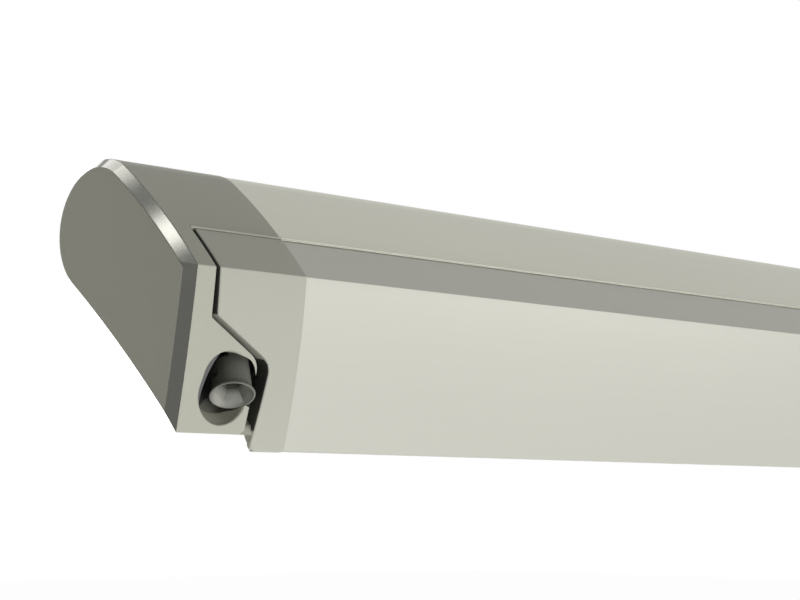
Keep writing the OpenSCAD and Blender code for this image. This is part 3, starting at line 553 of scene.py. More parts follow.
def loft(rings, closed=True):
    """Faces between rings of points, which may fall together. It returns the shape being
    built, and a function that adds one more face to it."""
    shape, found = bmesh.new(), {}

    def at(point):
        key = tuple(round(c, 5) for c in point)
        if key not in found:
            found[key] = shape.verts.new([c * mm for c in point])
        return found[key]

    def face(points):
        loop = []
        for point in points:
            vert = at(point)
            if not loop or vert is not loop[-1]:
                loop.append(vert)
        if len(loop) > 1 and loop[0] is loop[-1]:
            loop.pop()
        if len(loop) > 2 and len(set(loop)) == len(loop) and not shape.faces.get(loop):
            shape.faces.new(loop)

    for low, high in zip(rings, rings[1:] + rings[:1] if closed else rings[1:]):
        for i in range(len(low) - 1):
            face((low[i], low[i + 1], high[i + 1], high[i]))
    return shape, face


def capped(rings):
    """A closed body through open rings of points, shut at both ends."""
    shape, face = loft(rings, False)
    face(rings[0][:-1])
    face(rings[-1][:-1])
    return shape


def joined_loop(a, b):
    """The outline of what lies between two flat loops that share part of their edges."""
    def edges(loop):
        return {(p, q) for p, q in zip(loop, loop[1:] + loop[:1]) if p != q}
    after = dict((edges(a) - edges(b)) | {(q, p) for p, q in edges(b) - edges(a)})
    loop = [min(after)]
    while after[loop[-1]] != loop[0]:
        loop.append(after[loop[-1]])
    return loop


def edge_round(turn, r, before=20):
    """Round corner of the cap's section, as pairs of distance along X and depth."""
    return [tuple(p) for p in fillet(Vector((turn - before, 0)), Vector((turn, 0)),
                                     Vector((turn, before)), r, 3)]


bevel_profile = (fillet(Vector((0, 20)), Vector((0, bevel)), Vector((bevel, 0)), bevel_r, 4)
                 + fillet(Vector((0, bevel)), Vector((bevel, 0)), Vector((20, 0)),
                          bevel_r, 4))
front_start = len(under_line) + len(back_line) - 2 + round(slope_steps * (1 - seam_share))
rings_at = {}


def cap_point(k, x, d):
    """A point of the cap: outline point k, moved in by d, at a distance from the outer face."""
    if x > lip_start and d > cap_wall:
        p = inward(k, d)
    else:
        if d not in rings_at:
            rings_at[d] = cap_ring(d)
        p = rings_at[d][k]
    return (x - length / 2, p.x, p.y)


def cap_loop(edge, flange):
    """The cap's section where its free edge is that far along, and turned in that deep."""
    root = seam_x - cap_wall
    loop = [tuple(p) for p in bevel_profile] + [(root, 0), (seam_x - front_r, 0)]
    if edge == cap_len:
        loop += ([(lobe_foot_x - front_r, 0)] + edge_round(edge, end_r)
                 + [(edge, cap_wall), (lobe_foot_x, cap_wall), (lobe_foot_x - cap_wall, cap_wall)])
    else:
        loop += ([(min(lobe_foot_x, edge) - front_r, 0)] + edge_round(edge, front_r)
                 + [(edge, flange), (edge - cap_wall, flange), (edge - cap_wall, cap_wall)])
    return loop + [(root, cap_wall), (bevel, cap_wall)]


def cap_shape():
    """The bare cap, as a shape with its face at the crank end of the awning."""
    count = len(cap_outline)
    columns = []
    for k, p in enumerate(cap_outline):
        edge = x_at(cap_edge, p.y) if k > front_start else cap_len
        room = (p - cap_outline[0]).length * math.tan(tip_angle) - 2.2 * cap_wall
        columns.append((k, cap_loop(edge, max(cap_wall, min(flange_depth, room)))))
    jumps = ((front_start, columns[front_start][1], cap_loop(seam_x, flange_depth)),
             (0, columns[0][1], cap_loop(lobe_foot_x, cap_wall)))
    columns.insert(front_start + 1, (front_start, jumps[0][2]))
    columns.append((0, jumps[1][2]))
    shape, face = loft([])
    for (k, a), (j, b) in zip(columns, columns[1:]):
        for i in range(len(a) - 1 if j != k else 0):
            face([cap_point(k, *a[i]), cap_point(k, *a[i + 1]),
                  cap_point(j, *b[i + 1]), cap_point(j, *b[i])])
    for k, full, cut in jumps:
        face([cap_point(k, *p) for p in joined_loop(full, cut)])
    for x, d in (bevel_profile[0], (bevel, cap_wall)):
        face([cap_point(k, x, d) for k in range(count)])
    return shape


def shape_mesh(name, *shapes):
    """One mesh of closed shapes, with their faces outward."""
    whole = bmesh.new()
    for shape in shapes:
        bmesh.ops.recalc_face_normals(shape, faces=shape.faces)
        part = as_mesh(name, shape)
        whole.from_mesh(part)
        bpy.data.meshes.remove(part)
    return as_mesh(name, whole)


def tube(path, r, sides=8):
    """A closed round bar along a path of points in millimetres."""
    rings = []
    for i, point in enumerate(path):
        along = (path[min(i + 1, len(path) - 1)] - path[max(i - 1, 0)]).normalized()
        across = along.orthogonal().normalized()
        if rings:
            across = (last_across - along * last_across.dot(along)).normalized()
        last_across, up = across, along.cross(across)
        rings.append([point + (across * math.cos(2 * math.pi * k / sides)
                               + up * math.sin(2 * math.pi * k / sides)) * r
                      for k in range(sides + 1)])
    return capped(rings)


def front_at(z):
    """How far forward the front of a cap is at a height."""
    face_line = [crease] + cap_front
    return next(p.x + (q.x - p.x) * (p.y - z) / (p.y - q.y)
                for p, q in zip(face_line, face_line[1:]) if p.y >= z >= q.y)


# The opening is a capsule in X and Z. Its rim is round, and its lower side rises inward as a
# scoop, so that the crank can come up from below.
hole_top, hole_foot, hole_r = Vector((41.6, -24.2)), Vector((39.6, -31.8)), 19.3
shaft_lean, shaft_turn = 31.4, 58
shaft_dir = Vector((*polar(shaft_turn, math.sin(math.radians(shaft_lean))),
                    math.cos(math.radians(shaft_lean))))
rim_r = 1.7
scoop_depth, scoop_start, scoop_rise = 9.5, 1.5, 1.0


def hole_ring(grow, depth, steps=64):
    """The capsule grown by some millimetres, at a depth behind the front of the cap, with
    its lower side raised by the scoop."""
    points = []
    tilt = heading(hole_top - hole_foot) - 90
    for i in range(steps):
        angle = 360 * i / steps
        middle = hole_top if angle <= 180 else hole_foot
        p = middle + polar(angle + tilt, hole_r + grow)
        y = front_at(max(min(p.y, crease.y), seat_hit.y)) + depth
        low = max(0, -math.sin(math.radians(angle))) ** 0.8
        rise = low * scoop_rise * max(0, min(depth, scoop_depth) - scoop_start)
        points.append((p.x - length / 2, y, p.y + rise))
    return points + points[:1]


rim = [(rim_r * (1 - math.sin(math.radians(t))), rim_r * (1 - math.cos(math.radians(t))))
       for t in range(15, 91, 15)]
pocket = [hole_ring(rim_r + 1, -4)] + [hole_ring(*p) for p in rim] + [
    hole_ring(0, rim_r + d) for d in (1, 2, 3, 4.5, 6, 7.8)]
scoop = [hole_ring(1.8, 1.8), hole_ring(1.8, 4), hole_ring(1.7, 6.5), hole_ring(1.4, 8.6),
         hole_ring(0.8, 9.2)]
eye_notch = [(0, -1), (16.8, -1), (16.8, 1), (16.0, 13), (16.0, 40), (0, 40)]
mouth = Vector((eye_x - length / 2, -eye_y, -eye_z))
to_shaft = shaft_dir.to_track_quat("Z", "Y").to_matrix()


def from_mouth(x, y, up):
    """A point beside the crank shaft and up from the middle of the eye's mouth."""
    return mouth + to_shaft @ Vector((x, y, up))


def turned(profile, steps=48):
    """A body of revolution about the crank shaft: radius and height from the mouth."""
    rings = [[from_mouth(r * math.cos(2 * math.pi * k / steps),
                         r * math.sin(2 * math.pi * k / steps), h)
              for k in range(steps + 1)] for r, h in profile]
    return loft(rings, False)[0]


def cap_mesh(name, crank_end):
    """The cap with its raised lip and, at the crank end, its opening."""
    lip = [Vector((x - length / 2, seam.x, seam.y))
           + Vector((0, *(seam_in * lip_sink - seam_along * lip_r)))
           for x in range(round(seam_x), cap_len + 1, 4)]
    shapes = [cap_shape(), tube(lip, lip_r)]
    if not crank_end:
        return welded(name, shape_mesh(name, *shapes))
    return welded(name, shape_mesh(name, *shapes, capped(scoop)),
                  shape_mesh("cut", capped(pocket), turned(eye_notch)))


def cast_paint(name, colour, grain_size):
    """Paint over a casting: a metallic grain, slight orange peel and soft clouding."""
    paint = Finish(name, colour, 0.45, 0.06)
    paint.set("Specular IOR Level", 0.2)
    grain = paint.noise(1 / grain_size, 3)
    peel = paint.noise(420, 2)
    cloud = paint.noise(14, 3)
    paint.shade((grain - 0.42) * 0.9 + cloud * 0.4, 0.84)
    paint.set("Roughness", 0.38 + grain * 0.16)
    paint.bump(grain * 0.45 + peel * 0.55, 0.00005)
    return paint


def paint_faces(piece, finish, chosen):
    """A second finish on the faces that are chosen by their centre and normal."""
    piece.data.materials.append(finish.material)
    index = len(piece.data.materials) - 1
    for face in piece.data.polygons:
        if chosen(face.center / mm, face.normal):
            face.material_index = index


def mirrored(mesh):
    """The mesh for the other end of the awning."""
    other = mesh.copy()
    other.transform(Matrix.Scale(-1, 4, Vector((1, 0, 0))))
    other.flip_normals()
    return other


cap_paint = cast_paint("cap_paint", (0.515, 0.515, 0.44), 0.0006)
left_cap = new_piece("end_cap_left_shell", cap_mesh("end_cap_left_shell", True), cap_paint)
right_cap = new_piece("end_cap_right_shell",
                      mirrored(cap_mesh("end_cap_right_shell", False)), cap_paint)
# The bevel is polished through to the metal, under a clear lacquer. Its dark base colour is
# painted shade: it stands in for the dark surroundings that the polished bevel reflects.
bevel_painted_dark = Finish("bevel_painted_dark", (0.10, 0.10, 0.09), 0.2, 1.0)
brushing = bevel_painted_dark.noise(900, 2)
bevel_painted_dark.tint(brushing * 0.5, (0.16, 0.16, 0.145))
bevel_painted_dark.set("Roughness", 0.11 + brushing * 0.06)
bevel_painted_dark.bump(brushing, 0.000008)
for cap, node, side in ((left_cap, "end_cap_left", -1), (right_cap, "end_cap_right", 1)):
    paint_faces(cap, bevel_painted_dark, lambda at, normal: (
        length / 2 - bevel - 0.1 < abs(at.x) < length / 2 and 0.45 < side * normal.x < 0.9))
    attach(cap, "cassette")
    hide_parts(node)

# Lead rail
# The front profile that closes the case and pulls the fabric out. It is one extrusion: the
# lower part of the slope, the front face, a lip below, a shelf over the leg lane with a wall
# behind it, and a round groove that holds the edge of the fabric.
shelf_z, shelf_back, rail_back_z = 10, 34, 50
groove_r, keder_r, groove_mouth, groove_angle = 4.8, 3.4, 2.6, 17
groove_c = seam + seam_in * 6 + seam_along * 7
rail_lip = Vector((5.2, -0.42))
rail_first = 1 - seam_share + seam_gap / (crease - slope_end).length
recess = 6.5
rail_knee_r, rail_foot_r = 3.6, 6
rail_knee = knee + Vector((cap_gap, 0.9 * cap_gap))
rail_lobe = rail_knee + fall * ((lobe_x - seam_x + recess) / fall.x)
rail_foot = Vector((lobe_foot_x + cap_gap + recess, foot.y - 0.6))
rail_top = Vector((rail_knee.x - knee_lean, 90))
rail_edge = ([rail_top] + fillet(rail_top, rail_knee, rail_lobe, rail_knee_r)
             + fillet(rail_knee, rail_lobe, rail_foot, lobe_r, 12)
             + fillet(rail_lobe, rail_foot, rail_foot + Vector((30, 0)), rail_foot_r, 8))


def rail_outline(drop, steps, edge=()):
    """The rail's outer line from the seam to the lip, with a round crease and foot."""
    slope = [p for p in bow_points(slope_end, crease, slope_bulge, rail_first, 1, 12)
             if (p - crease).length > crease_room]
    front = [p for p in front_points(foot.y, front_bulge, steps, edge)
             if (p - foot).length > 1.6] + [foot]
    line = (slope + fillet(slope[-1], crease, front[0], crease_r, 4) + front[:-1]
            + fillet(front[-2], foot, foot + rail_lip, 0.9, 3) + [foot + rail_lip])
    return shifted(line, drop) if drop else line


rail_line = rail_outline(skin_drop, 40)
front_in = next(p.x for p in rail_line if p.x < 0 and p.y < -shelf_z) + 1
rail_walls = [
    strip(rail_line, wall - skin_drop),
    [Vector(p) for p in ((front_in, -shelf_z), (-shelf_back, -shelf_z),
                         (-shelf_back, wall - shelf_z), (front_in, wall - shelf_z))],
    [Vector(p) for p in ((-shelf_back - wall, -rail_back_z), (-shelf_back, -rail_back_z),
                         (-shelf_back, wall - shelf_z), (-shelf_back - wall, wall - shelf_z))],
    ring(groove_c, groove_r, 32)]
across_groove = left(polar(groove_angle)) * (groove_mouth / 2)
groove_end = groove_c + polar(groove_angle, groove_r + 2)
rail_cuts = [ring(groove_c, keder_r, 32),
             [groove_c - across_groove, groove_end - across_groove,
              groove_end + across_groove, groove_c + across_groove]]
rail_mesh = welded("lead_rail_skin", prisms("rail", [(w, *profile_ends) for w in rail_walls]),
                   prisms("cuts", [(c, *cut_ends) for c in rail_cuts]))
rail_paint = coated_extrusion("rail_paint", (0.56, 0.56, 0.50), 0.92, 0.25)
rail = new_piece("lead_rail_skin", rail_mesh, rail_paint)
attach(rail, "lead_rail")
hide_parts("lead_rail_profile")

# Lead rail end caps
# A cast cap on each end of the rail. Its near edge runs beside the kneed edge of the case's
# end cap and is turned in, and its far edge meets the profile.
rail_cap_line = rail_outline(0, 44, rail_edge)
rail_flange = 10


def rail_point(x, k, d):
    """Point k of the rail cap's outline, moved in by d, as far along as x."""
    line = rail_cap_line
    if (line[k] - crease).length < crease_room / 2:
        p = in_crease(line[k], d)
    elif k in (0, len(line) - 1):
        j = 1 if k == 0 else k
        p = line[k] + left(line[j] - line[j - 1]) * d
    elif (line[k] - foot).length < 3 and d > 0.8:
        p = mitre(line[-6], foot, line[-1], d)
    else:
        p = mitre(line[k - 1], line[k], line[k + 1], d)
    return (x - length / 2, p.x, p.y)


def rail_cap_section(edge, z):
    """The cap's section from its turned in near edge to the profile, as X and depth. The
    turned in edge grows less deep toward the foot."""
    flange = max(cap_wall + 0.5, min(rail_flange, (z - foot.y) * 1.1 - 1))
    near = fillet(Vector((edge, 20)), Vector((edge, 0)), Vector((edge + 20, 0)), front_r, 4)
    far = fillet(Vector((edge, 0)), Vector((cap_len, 0)), Vector((cap_len, 20)), 0.4, 2)
    return ([(edge, flange)] + [tuple(p) for p in near] + [tuple(p) for p in far]
            + [(cap_len, cap_wall), (edge + cap_wall, cap_wall), (edge + cap_wall, flange)])


def rail_cap_mesh(name):
    loops = [[rail_point(x, k, d) for x, d in rail_cap_section(x_at(rail_edge, p.y), p.y)]
             for k, p in enumerate(rail_cap_line)]
    return shape_mesh(name, capped([loop + loop[:1] for loop in loops]))


rail_cap_paint = cast_paint("rail_cap_paint", (0.55, 0.55, 0.48), 0.0006)
rail_cap_left = new_piece("rail_end_cap_left_shell", rail_cap_mesh("rail_end_cap_left_shell"),
                          rail_cap_paint)
rail_cap_right = new_piece("rail_end_cap_right_shell",
                           mirrored(rail_cap_mesh("rail_end_cap_right_shell")), rail_cap_paint)
# The turned in edge is painted dark grey down to a height: painted shade, for the shadow that
# falls on the side of the flange.
flank_foot = -54
flank_shade_paint = cast_paint("flank_painted_shade", (0.075, 0.075, 0.07), 0.0006)
for cap, node, side in ((rail_cap_left, "rail_end_cap_left", -1),
                        (rail_cap_right, "rail_end_cap_right", 1)):
    paint_faces(cap, flank_shade_paint, lambda at, normal: (
        side * normal.x > 0.75 and abs(at.x) > length / 2 - cap_len + 1
        and at.z > flank_foot))
    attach(cap, "lead_rail")
    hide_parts(node)

# Crank eye
# A grey coated casting that hangs from the universal joint. Its mouth has a thin rim, the
# body behind it is nearly as wide, and the socket inside changes from round to six sided.
mouth_r, eye_body_r, eye_r, cross_up = 15, 13, 10.5, 36
fork_in, lug_half, lug_top = 5.8, 4.8, 5.5
socket_r, socket_end = 7.5, 16
flare_h = 10.2
hexagon_turn = 12


def six_sided(angle):
    """How far out the side of a hexagon is in a direction, as a share of its corner."""
    return math.cos(math.radians(30)) / math.cos(math.radians(angle % 60 - 30))


def eye_ring(r, h, six=0.0, steps=60):
    """A ring of the eye: round, or toward six sided by a share."""
    points = []
    for k in range(steps + 1):
        angle = 360 * k / steps
        reach_out = r * (1 + (six_sided(angle + hexagon_turn) - 1) * six)
        points.append(from_mouth(*polar(angle, reach_out), h))
    return points


eye_rings = [eye_ring(*p) for p in (
    (eye_r - 1, cross_up - 8.6), (eye_r, cross_up - 9), (eye_body_r - 1.4, cross_up - 9.4),
    (eye_body_r - 0.8, cross_up - 10), (eye_body_r - 0.5, 16), (eye_body_r - 0.2, 9.5),
    (eye_body_r, 6), (eye_body_r + 0.5, 3.4), (mouth_r - 0.35, 1.6),
    (mouth_r, 0.9), (mouth_r - 0.1, 0.35), (mouth_r - 0.5, 0), (mouth_r - 1.1, 0.1),
    (mouth_r - 1.7, 0.9), (13.0, 1.7, 0.25), (12.2, 2.9, 0.7), (11.3, 4.2, 1.0),
    (9.4, 7.0, 1.0), (socket_r, 10, 1.0), (socket_r - 0.3, socket_end, 1.0),
    (4.0, socket_end + 2, 0.6))]
eye_body = capped(eye_rings)


def eye_lug(side):
    """One of the two lugs of the eye, which hold a pin of the cross."""
    outer = [Vector((x, y)) for x, y in ((fork_in, -lug_half), (fork_in, lug_half))]
    outer += [polar(a, eye_r) for a in range(27, -28, -9)]
    rings = []
    for h, draw in ((cross_up - 14, 0), (cross_up + lug_top - 1.2, 0), (cross_up + lug_top, 0.8)):
        loop = [from_mouth(side * (p.x - draw * (p.x > 7)), side * p.y * (1 - draw / 6), h)
                for p in outer]
        rings.append(loop + loop[:1])
    return capped(rings)


def eye_slot(angle, low, high, half, depth):
    """A slot through the wall of the eye, to be cut out."""
    out, side = polar(angle), polar(angle + 90)
    rings = []
    for r in (eye_body_r - depth, eye_body_r + 3):
        corners = [out * r + side * w for w in (-half, half)]
        loop = [from_mouth(*c, h) for h in (low, high)
                for c in (corners if h == low else corners[::-1])]
        rings.append(loop + loop[:1])
    return capped(rings)


# The slots let the pins of the cross in from the top and from the side.
eye_cuts = shape_mesh("eye_cuts", *(eye_slot(*cut) for cut in (
    (62, 23, 30, 3.4, 5), (242, 23, 30, 3.4, 5), (22, 10.5, 17, 3.6, 4.5),
    (202, 10.5, 17, 3.6, 4.5))))
eye_paint = cast_paint("eye_metal", (0.17, 0.17, 0.15), 0.0005)
eye_paint.set("Metallic", 0.25)
eye_paint.set("Roughness", 0.3)
# The rim and the flare inside the mouth are lighter and more metallic than the eye. The lighter
# colour is painted light, so that the rim and the inside of the mouth show lit.
mouth_lit_metal = cast_paint("eye_mouth_painted_light", (0.34, 0.34, 0.31), 0.0004)
mouth_lit_metal.set("Metallic", 0.5)
mouth_lit_metal.set("Roughness", 0.26)
eye = new_piece("crank_eye_cup", welded("crank_eye_cup", shape_mesh(
    "crank_eye_cup", eye_body, eye_lug(1), eye_lug(-1)), eye_cuts), eye_paint, 40)


def in_mouth(at, normal):
    """Whether a face lies on the rim or in the flare of the mouth."""
    local = to_shaft.transposed() @ (at - mouth)
    around = Vector((local.x, local.y))
    return local.z < flare_h and around.length < mouth_r - 0.3 and (
        around.normalized().dot((to_shaft.transposed() @ normal).xy) < 0.3)


paint_faces(eye, mouth_lit_metal, in_mouth)
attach(eye, "crank_eye")
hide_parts("crank_eye")

# End plates and brackets
# Raw cast aluminium plates on both ends of the profile carry the roller. The brackets bolted
# inside the case carry the arms, and those in the rail take the arms' hands.


def raw_casting(name, colour):
    """Bare cast metal: coarse skin, a soft sheen and darker hollows."""
    metal = Finish(name, colour, 0.5, 0.85)
    skin = metal.noise(700, 4)
    cloud = metal.noise(45, 3)
    metal.shade(skin * 0.5 + cloud * 0.4, 0.68)
    metal.set("Roughness", 0.42 + skin * 0.2)
    metal.bump(skin * 0.7 + cloud * 0.3, 0.00008)
    return metal


def dress(finish, *nodes):
    """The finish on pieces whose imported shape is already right."""
    for node in nodes:
        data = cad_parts[node].data
        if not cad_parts[node].material_slots:
            data.materials.append(finish.material)
        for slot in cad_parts[node].material_slots:
            slot.material = finish.material


def pair(name):
    """The names of the left and the right one."""
    return name + "_left", name + "_right"


casting = raw_casting("cast_aluminium", (0.52, 0.53, 0.53))
dress(casting, *pair("end_plate"), *pair("shoulder_bracket"), *pair("hand_bracket"),
      *pair("shoulder_knuckle"), *pair("elbow_yoke"), *pair("elbow_tongue"),
      *pair("hand_knuckle"))

# Screws and bolts
# Zinc plated screws go through each end plate into the ports of the profile, and bolts hold
# the shoulder brackets. All have a round head with a six sided socket.
zinc = Finish("zinc_plate", (0.62, 0.62, 0.60), 0.3, 1.0)
zinc_cloud = zinc.noise(600, 3)
zinc.tint(zinc_cloud * 0.6, (0.50, 0.50, 0.46))
zinc.set("Roughness", 0.24 + zinc_cloud * 0.16)
zinc.bump(zinc_cloud, 0.00001)


def screw_mesh(name, shank_r, shank, head_r, head_h, socket):
    """A screw along X: its head starts at 0 and its shank runs toward +X."""
    steps, end, floor_h = 24, shank + head_h, head_h * 0.6
    outside = [(0.3, end), (shank_r - 0.4, end), (shank_r, end - 0.6), (shank_r, head_h),
               (head_r, head_h), (head_r, head_h * 0.35), (head_r * 0.82, 0.05),
               (socket * 1.12, 0)]
    profile = ([(r, x, False) for r, x in outside]
               + [(socket, 0.2, True), (socket, floor_h, True), (0.3, floor_h, False)])
    rings = []
    for r, x, six in profile:
        rings.append([(x, *polar(angle, r * (six_sided(angle) if six else 1)))
                      for angle in (360 * k / steps for k in range(steps + 1))])
    return shape_mesh(name, capped(rings))


def by_rule(name, seeds, finish, inputs, rule_links):
    """The mesh that a Geometry Nodes rule makes from a mesh and named inputs, in a finish.
    rule_links takes the tree's nodes and its start, and gives links and the last output."""
    tree = bpy.data.node_groups.new(name + "_rule", "GeometryNodeTree")
    ports = tree.interface
    ports.new_socket("Seeds", in_out="INPUT", socket_type="NodeSocketGeometry")
    values = [(ports.new_socket(label, in_out="INPUT", socket_type="NodeSocket" + kind), value)
              for label, kind, value in inputs]
    ports.new_socket("Pieces", in_out="OUTPUT", socket_type="NodeSocketGeometry")
    start, stop = tree.nodes.new("NodeGroupInput"), tree.nodes.new("NodeGroupOutput")
    real = tree.nodes.new("GeometryNodeRealizeInstances")
    coat = tree.nodes.new("GeometryNodeSetMaterial")
    coat.inputs["Material"].default_value = finish.material
    links, last = rule_links(tree.nodes, start.outputs)
    for a, b in links + [(last, real.inputs[0]), (real.outputs[0], coat.inputs["Geometry"]),
                         (coat.outputs[0], stop.inputs["Pieces"])]:
        tree.links.new(a, b)
    holder = bpy.data.objects.new(name, seeds)
    bpy.context.scene.collection.objects.link(holder)
    rule = holder.modifiers.new("rule", "NODES")
    rule.node_group = tree
    for socket, value in values:
        rule[socket.identifier] = value
    mesh = settled(holder)
    bpy.data.objects.remove(holder)
    return mesh


def repeats(name, shape, places, turn, finish):
    """Copies of a shape at a list of places, all turned alike, made by Geometry Nodes."""
    seeds = bpy.data.meshes.new(name + "_places")
    seeds.from_pydata([tuple(c * mm for c in p) for p in places], [], [])
    one = bpy.data.objects.new(name + "_one", shape)
    bpy.context.scene.collection.objects.link(one)

    def rule_links(nodes, start):
        info = nodes.new("GeometryNodeObjectInfo")
        put = nodes.new("GeometryNodeInstanceOnPoints")
        euler = nodes.new("FunctionNodeEulerToRotation")
        return [(start["Seeds"], put.inputs["Points"]), (start["Shape"], info.inputs["Object"]),
                (info.outputs["Geometry"], put.inputs["Instance"]),
                (start["Turn"], euler.inputs[0]),
                (euler.outputs[0], put.inputs["Rotation"])], put.outputs[0]

    mesh = by_rule(name, seeds, finish, [("Shape", "Object", one), ("Turn", "Vector", turn)],
                   rule_links)
    bpy.data.objects.remove(one)
    return mesh


def joined(name, *meshes):
    """One mesh from several."""
    shape = bmesh.new()
    for mesh in meshes:
        shape.from_mesh(mesh)
    return as_mesh(name, shape)


plate_t, screw_head = 6, 2.5
ports = [roll_c + polar(a, port_out) for a in port_angles]
screw = screw_mesh("screw", 1.7, plate_t + 20, 3, screw_head, 1.4)
screw_x = length / 2 - cap_len + plate_t + screw_head
plate_screws = new_piece("plate_screw_set", joined(
    "plate_screw_set",
    repeats("screws_left", screw, [(-screw_x, *p) for p in ports], (0, 0, 0), zinc),
    repeats("screws_right", screw, [(screw_x, *p) for p in ports], (0, 0, math.pi), zinc)), zinc)
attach(plate_screws, "cassette")
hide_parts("plate_screws")
shoulder_inset, bolt_run = 350, 22
bolt_half_gap, bolt_head_up = 17, 9
bolt = screw_mesh("bolt", 2.9, 5.6, 2.95, 3.2, 1.9)
bolt_turn = (0, math.pi / 2, 0)
bolt_top = on_seat(bolt_run, wall + bolt_head_up)
bolt_places = [(side * (length / 2 - shoulder_inset + x), 0, 0) for side in (-1, 1)
               for x in (-bolt_half_gap, bolt_half_gap)]
bolts = repeats("bolts", bolt, bolt_places, bolt_turn, zinc)
bolts.transform(Matrix.Translation(Vector((0, *bolt_top)) * mm)
                @ Matrix.Rotation(math.radians(seat_angle), 4, "X"))
shoulder_bolts = new_piece("shoulder_bolt_set", bolts, zinc)
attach(shoulder_bolts, "cassette")
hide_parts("shoulder_bolts")
dress(zinc, "shoulder_pins", *pair("elbow_pin"), "hand_pins", "leg_pins")

# Crank drive
# A moulded gear housing in the left end cap holds a steel worm on the crank shaft and a
# bronze wheel on the roller's spindle. A cross joins the shaft to the eye.


def moulded(name, colour, sheen=0.45):
    """Moulded plastic: a fine spark texture and faint flow clouds."""
    plastic = Finish(name, colour, sheen)
    spark = plastic.noise(1400, 3)
    flow = plastic.noise(30, 2)
    plastic.tint(spark * 0.3 + flow * 0.3, tuple(c * 0.75 + 0.004 for c in colour))
    plastic.set("Roughness", sheen + (spark - 0.5) * 0.16)
    plastic.bump(spark, 0.00003)
    return plastic


def turned_metal(name, colour, roughness):
    """Turned metal, with fine rings of tool marks."""
    metal = Finish(name, colour, roughness, 1.0)
    marks = metal.noise(500, 3, (4, 1, 1))
    metal.shade(marks * 0.5, 0.75)
    metal.set("Roughness", roughness + marks * 0.12)
    metal.bump(marks, 0.00001)
    return metal


grey_plastic = moulded("grey_plastic", (0.085, 0.085, 0.085))
dress(grey_plastic, "gearbox_housing", "roller_bearings", *pair("roller_plug"))
dress(turned_metal("worm_steel", (0.55, 0.55, 0.56), 0.25), "worm_shaft")
dress(turned_metal("wheel_bronze", (0.56, 0.36, 0.14), 0.3), "worm_wheel")
dress(eye_paint, "crank_cross")

# Roller
# A thin aluminium tube on two plugs. The fabric is wound on it, inner end first, as one long
# sheet, and leaves the roll at the top.
tube_d, fabric_inset, fabric_t, fabric_clear = 63, 160, 0.6, 0.3
fabric_w = length - 2 * fabric_inset
dress(turned_metal("roller_tube_metal", (0.66, 0.67, 0.68), 0.32), "roller_tube")


def woven(name, colour, thread):
    """Coated woven cloth: a plain weave that follows the cloth's own map, in metres."""
    cloth = Finish(name, colour, 0.75)
    cloth.set("Sheen Weight", 0.25)
    uv = cloth.node("UVMap", {"uv_map": "cloth"})
    split = cloth.node("SeparateXYZ", {}, [uv])
    across = Value(cloth, split.socket.node.outputs["X"]) * (2 * math.pi / thread)
    along = Value(cloth, split.socket.node.outputs["Y"]) * (2 * math.pi / thread)
    warp = cloth.node("Math", {"operation": "SINE"}, [across])
    weft = cloth.node("Math", {"operation": "SINE"}, [along])
    weave = (warp * weft) * 0.5 + 0.5
    cloud = cloth.node("TexNoise", {}, {"Vector": uv, "Scale": 6.0, "Detail": 3.0})
    cloth.shade(weave * 0.35 + cloud * 0.3, 0.72)
    cloth.set("Roughness", 0.68 + weave * 0.14)
    cloth.bump(weave, 0.0001)
    return cloth


def sheet_mesh(name, path, columns=24):
    """A sheet of fabric from a path in Y and Z, as wide as the fabric, with its map."""
    run = [0.0]
    for p, q in zip(path, path[1:]):
        run.append(run[-1] + (q - p).length)
    points, faces = [], []
    for p in path:
        points += [((fabric_w * (i / columns - 0.5)) * mm, p.x * mm, p.y * mm)
                   for i in range(columns + 1)]
    step = columns + 1
    for j in range(len(path) - 1):
        faces += [(j * step + i, j * step + i + 1, (j + 1) * step + i + 1, (j + 1) * step + i)
                  for i in range(columns)]
    mesh = bpy.data.meshes.new(name)
    mesh.from_pydata(points, [], faces)
    layer = mesh.uv_layers.new(name="cloth")
    for loop in mesh.loops:
        j, i = divmod(loop.vertex_index, step)
        layer.data[loop.index].uv = (fabric_w * i / columns * mm, run[j] * mm)
    return mesh, run[-1] * mm


def hemmed(name, mesh, thickness, finish, sharp):
    """The sheet with its real thickness."""
    piece = new_piece(name, mesh, finish, sharp)
    solid = piece.modifiers.new("thickness", "SOLIDIFY")
    solid.thickness, solid.offset = thickness * mm, 0
    settled(piece)
    return piece


canopy_cloth = woven("canopy_fabric", (0.50, 0.51, 0.50), 0.0012)
roll_in = tube_d / 2 + fabric_t / 2
roll_out = roll_d / 2 - fabric_t / 2
turns = (roll_out - roll_in) / (fabric_t + 0.06)
bead_wrap = bead_r + fabric_clear
roll_top = roll_d / 2 + fabric_clear
to_bead = bead_c - roll_c
leave = heading(to_bead) - math.degrees(math.acos(
    (bead_wrap + fabric_t + roll_top + fabric_t / 2) / to_bead.length))
spiral = [roll_c + polar(leave + 360 * (k / 40 - turns), roll_in + (roll_out - roll_in)
                         * k / (40 * turns)) for k in range(round(40 * turns) + 1)]
roll_mesh, roll_len = sheet_mesh("fabric_wound", spiral, 6)
roll = hemmed("fabric_wound", roll_mesh, 0.5, canopy_cloth, 60)
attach(roll, "roller")
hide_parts("fabric_roll")

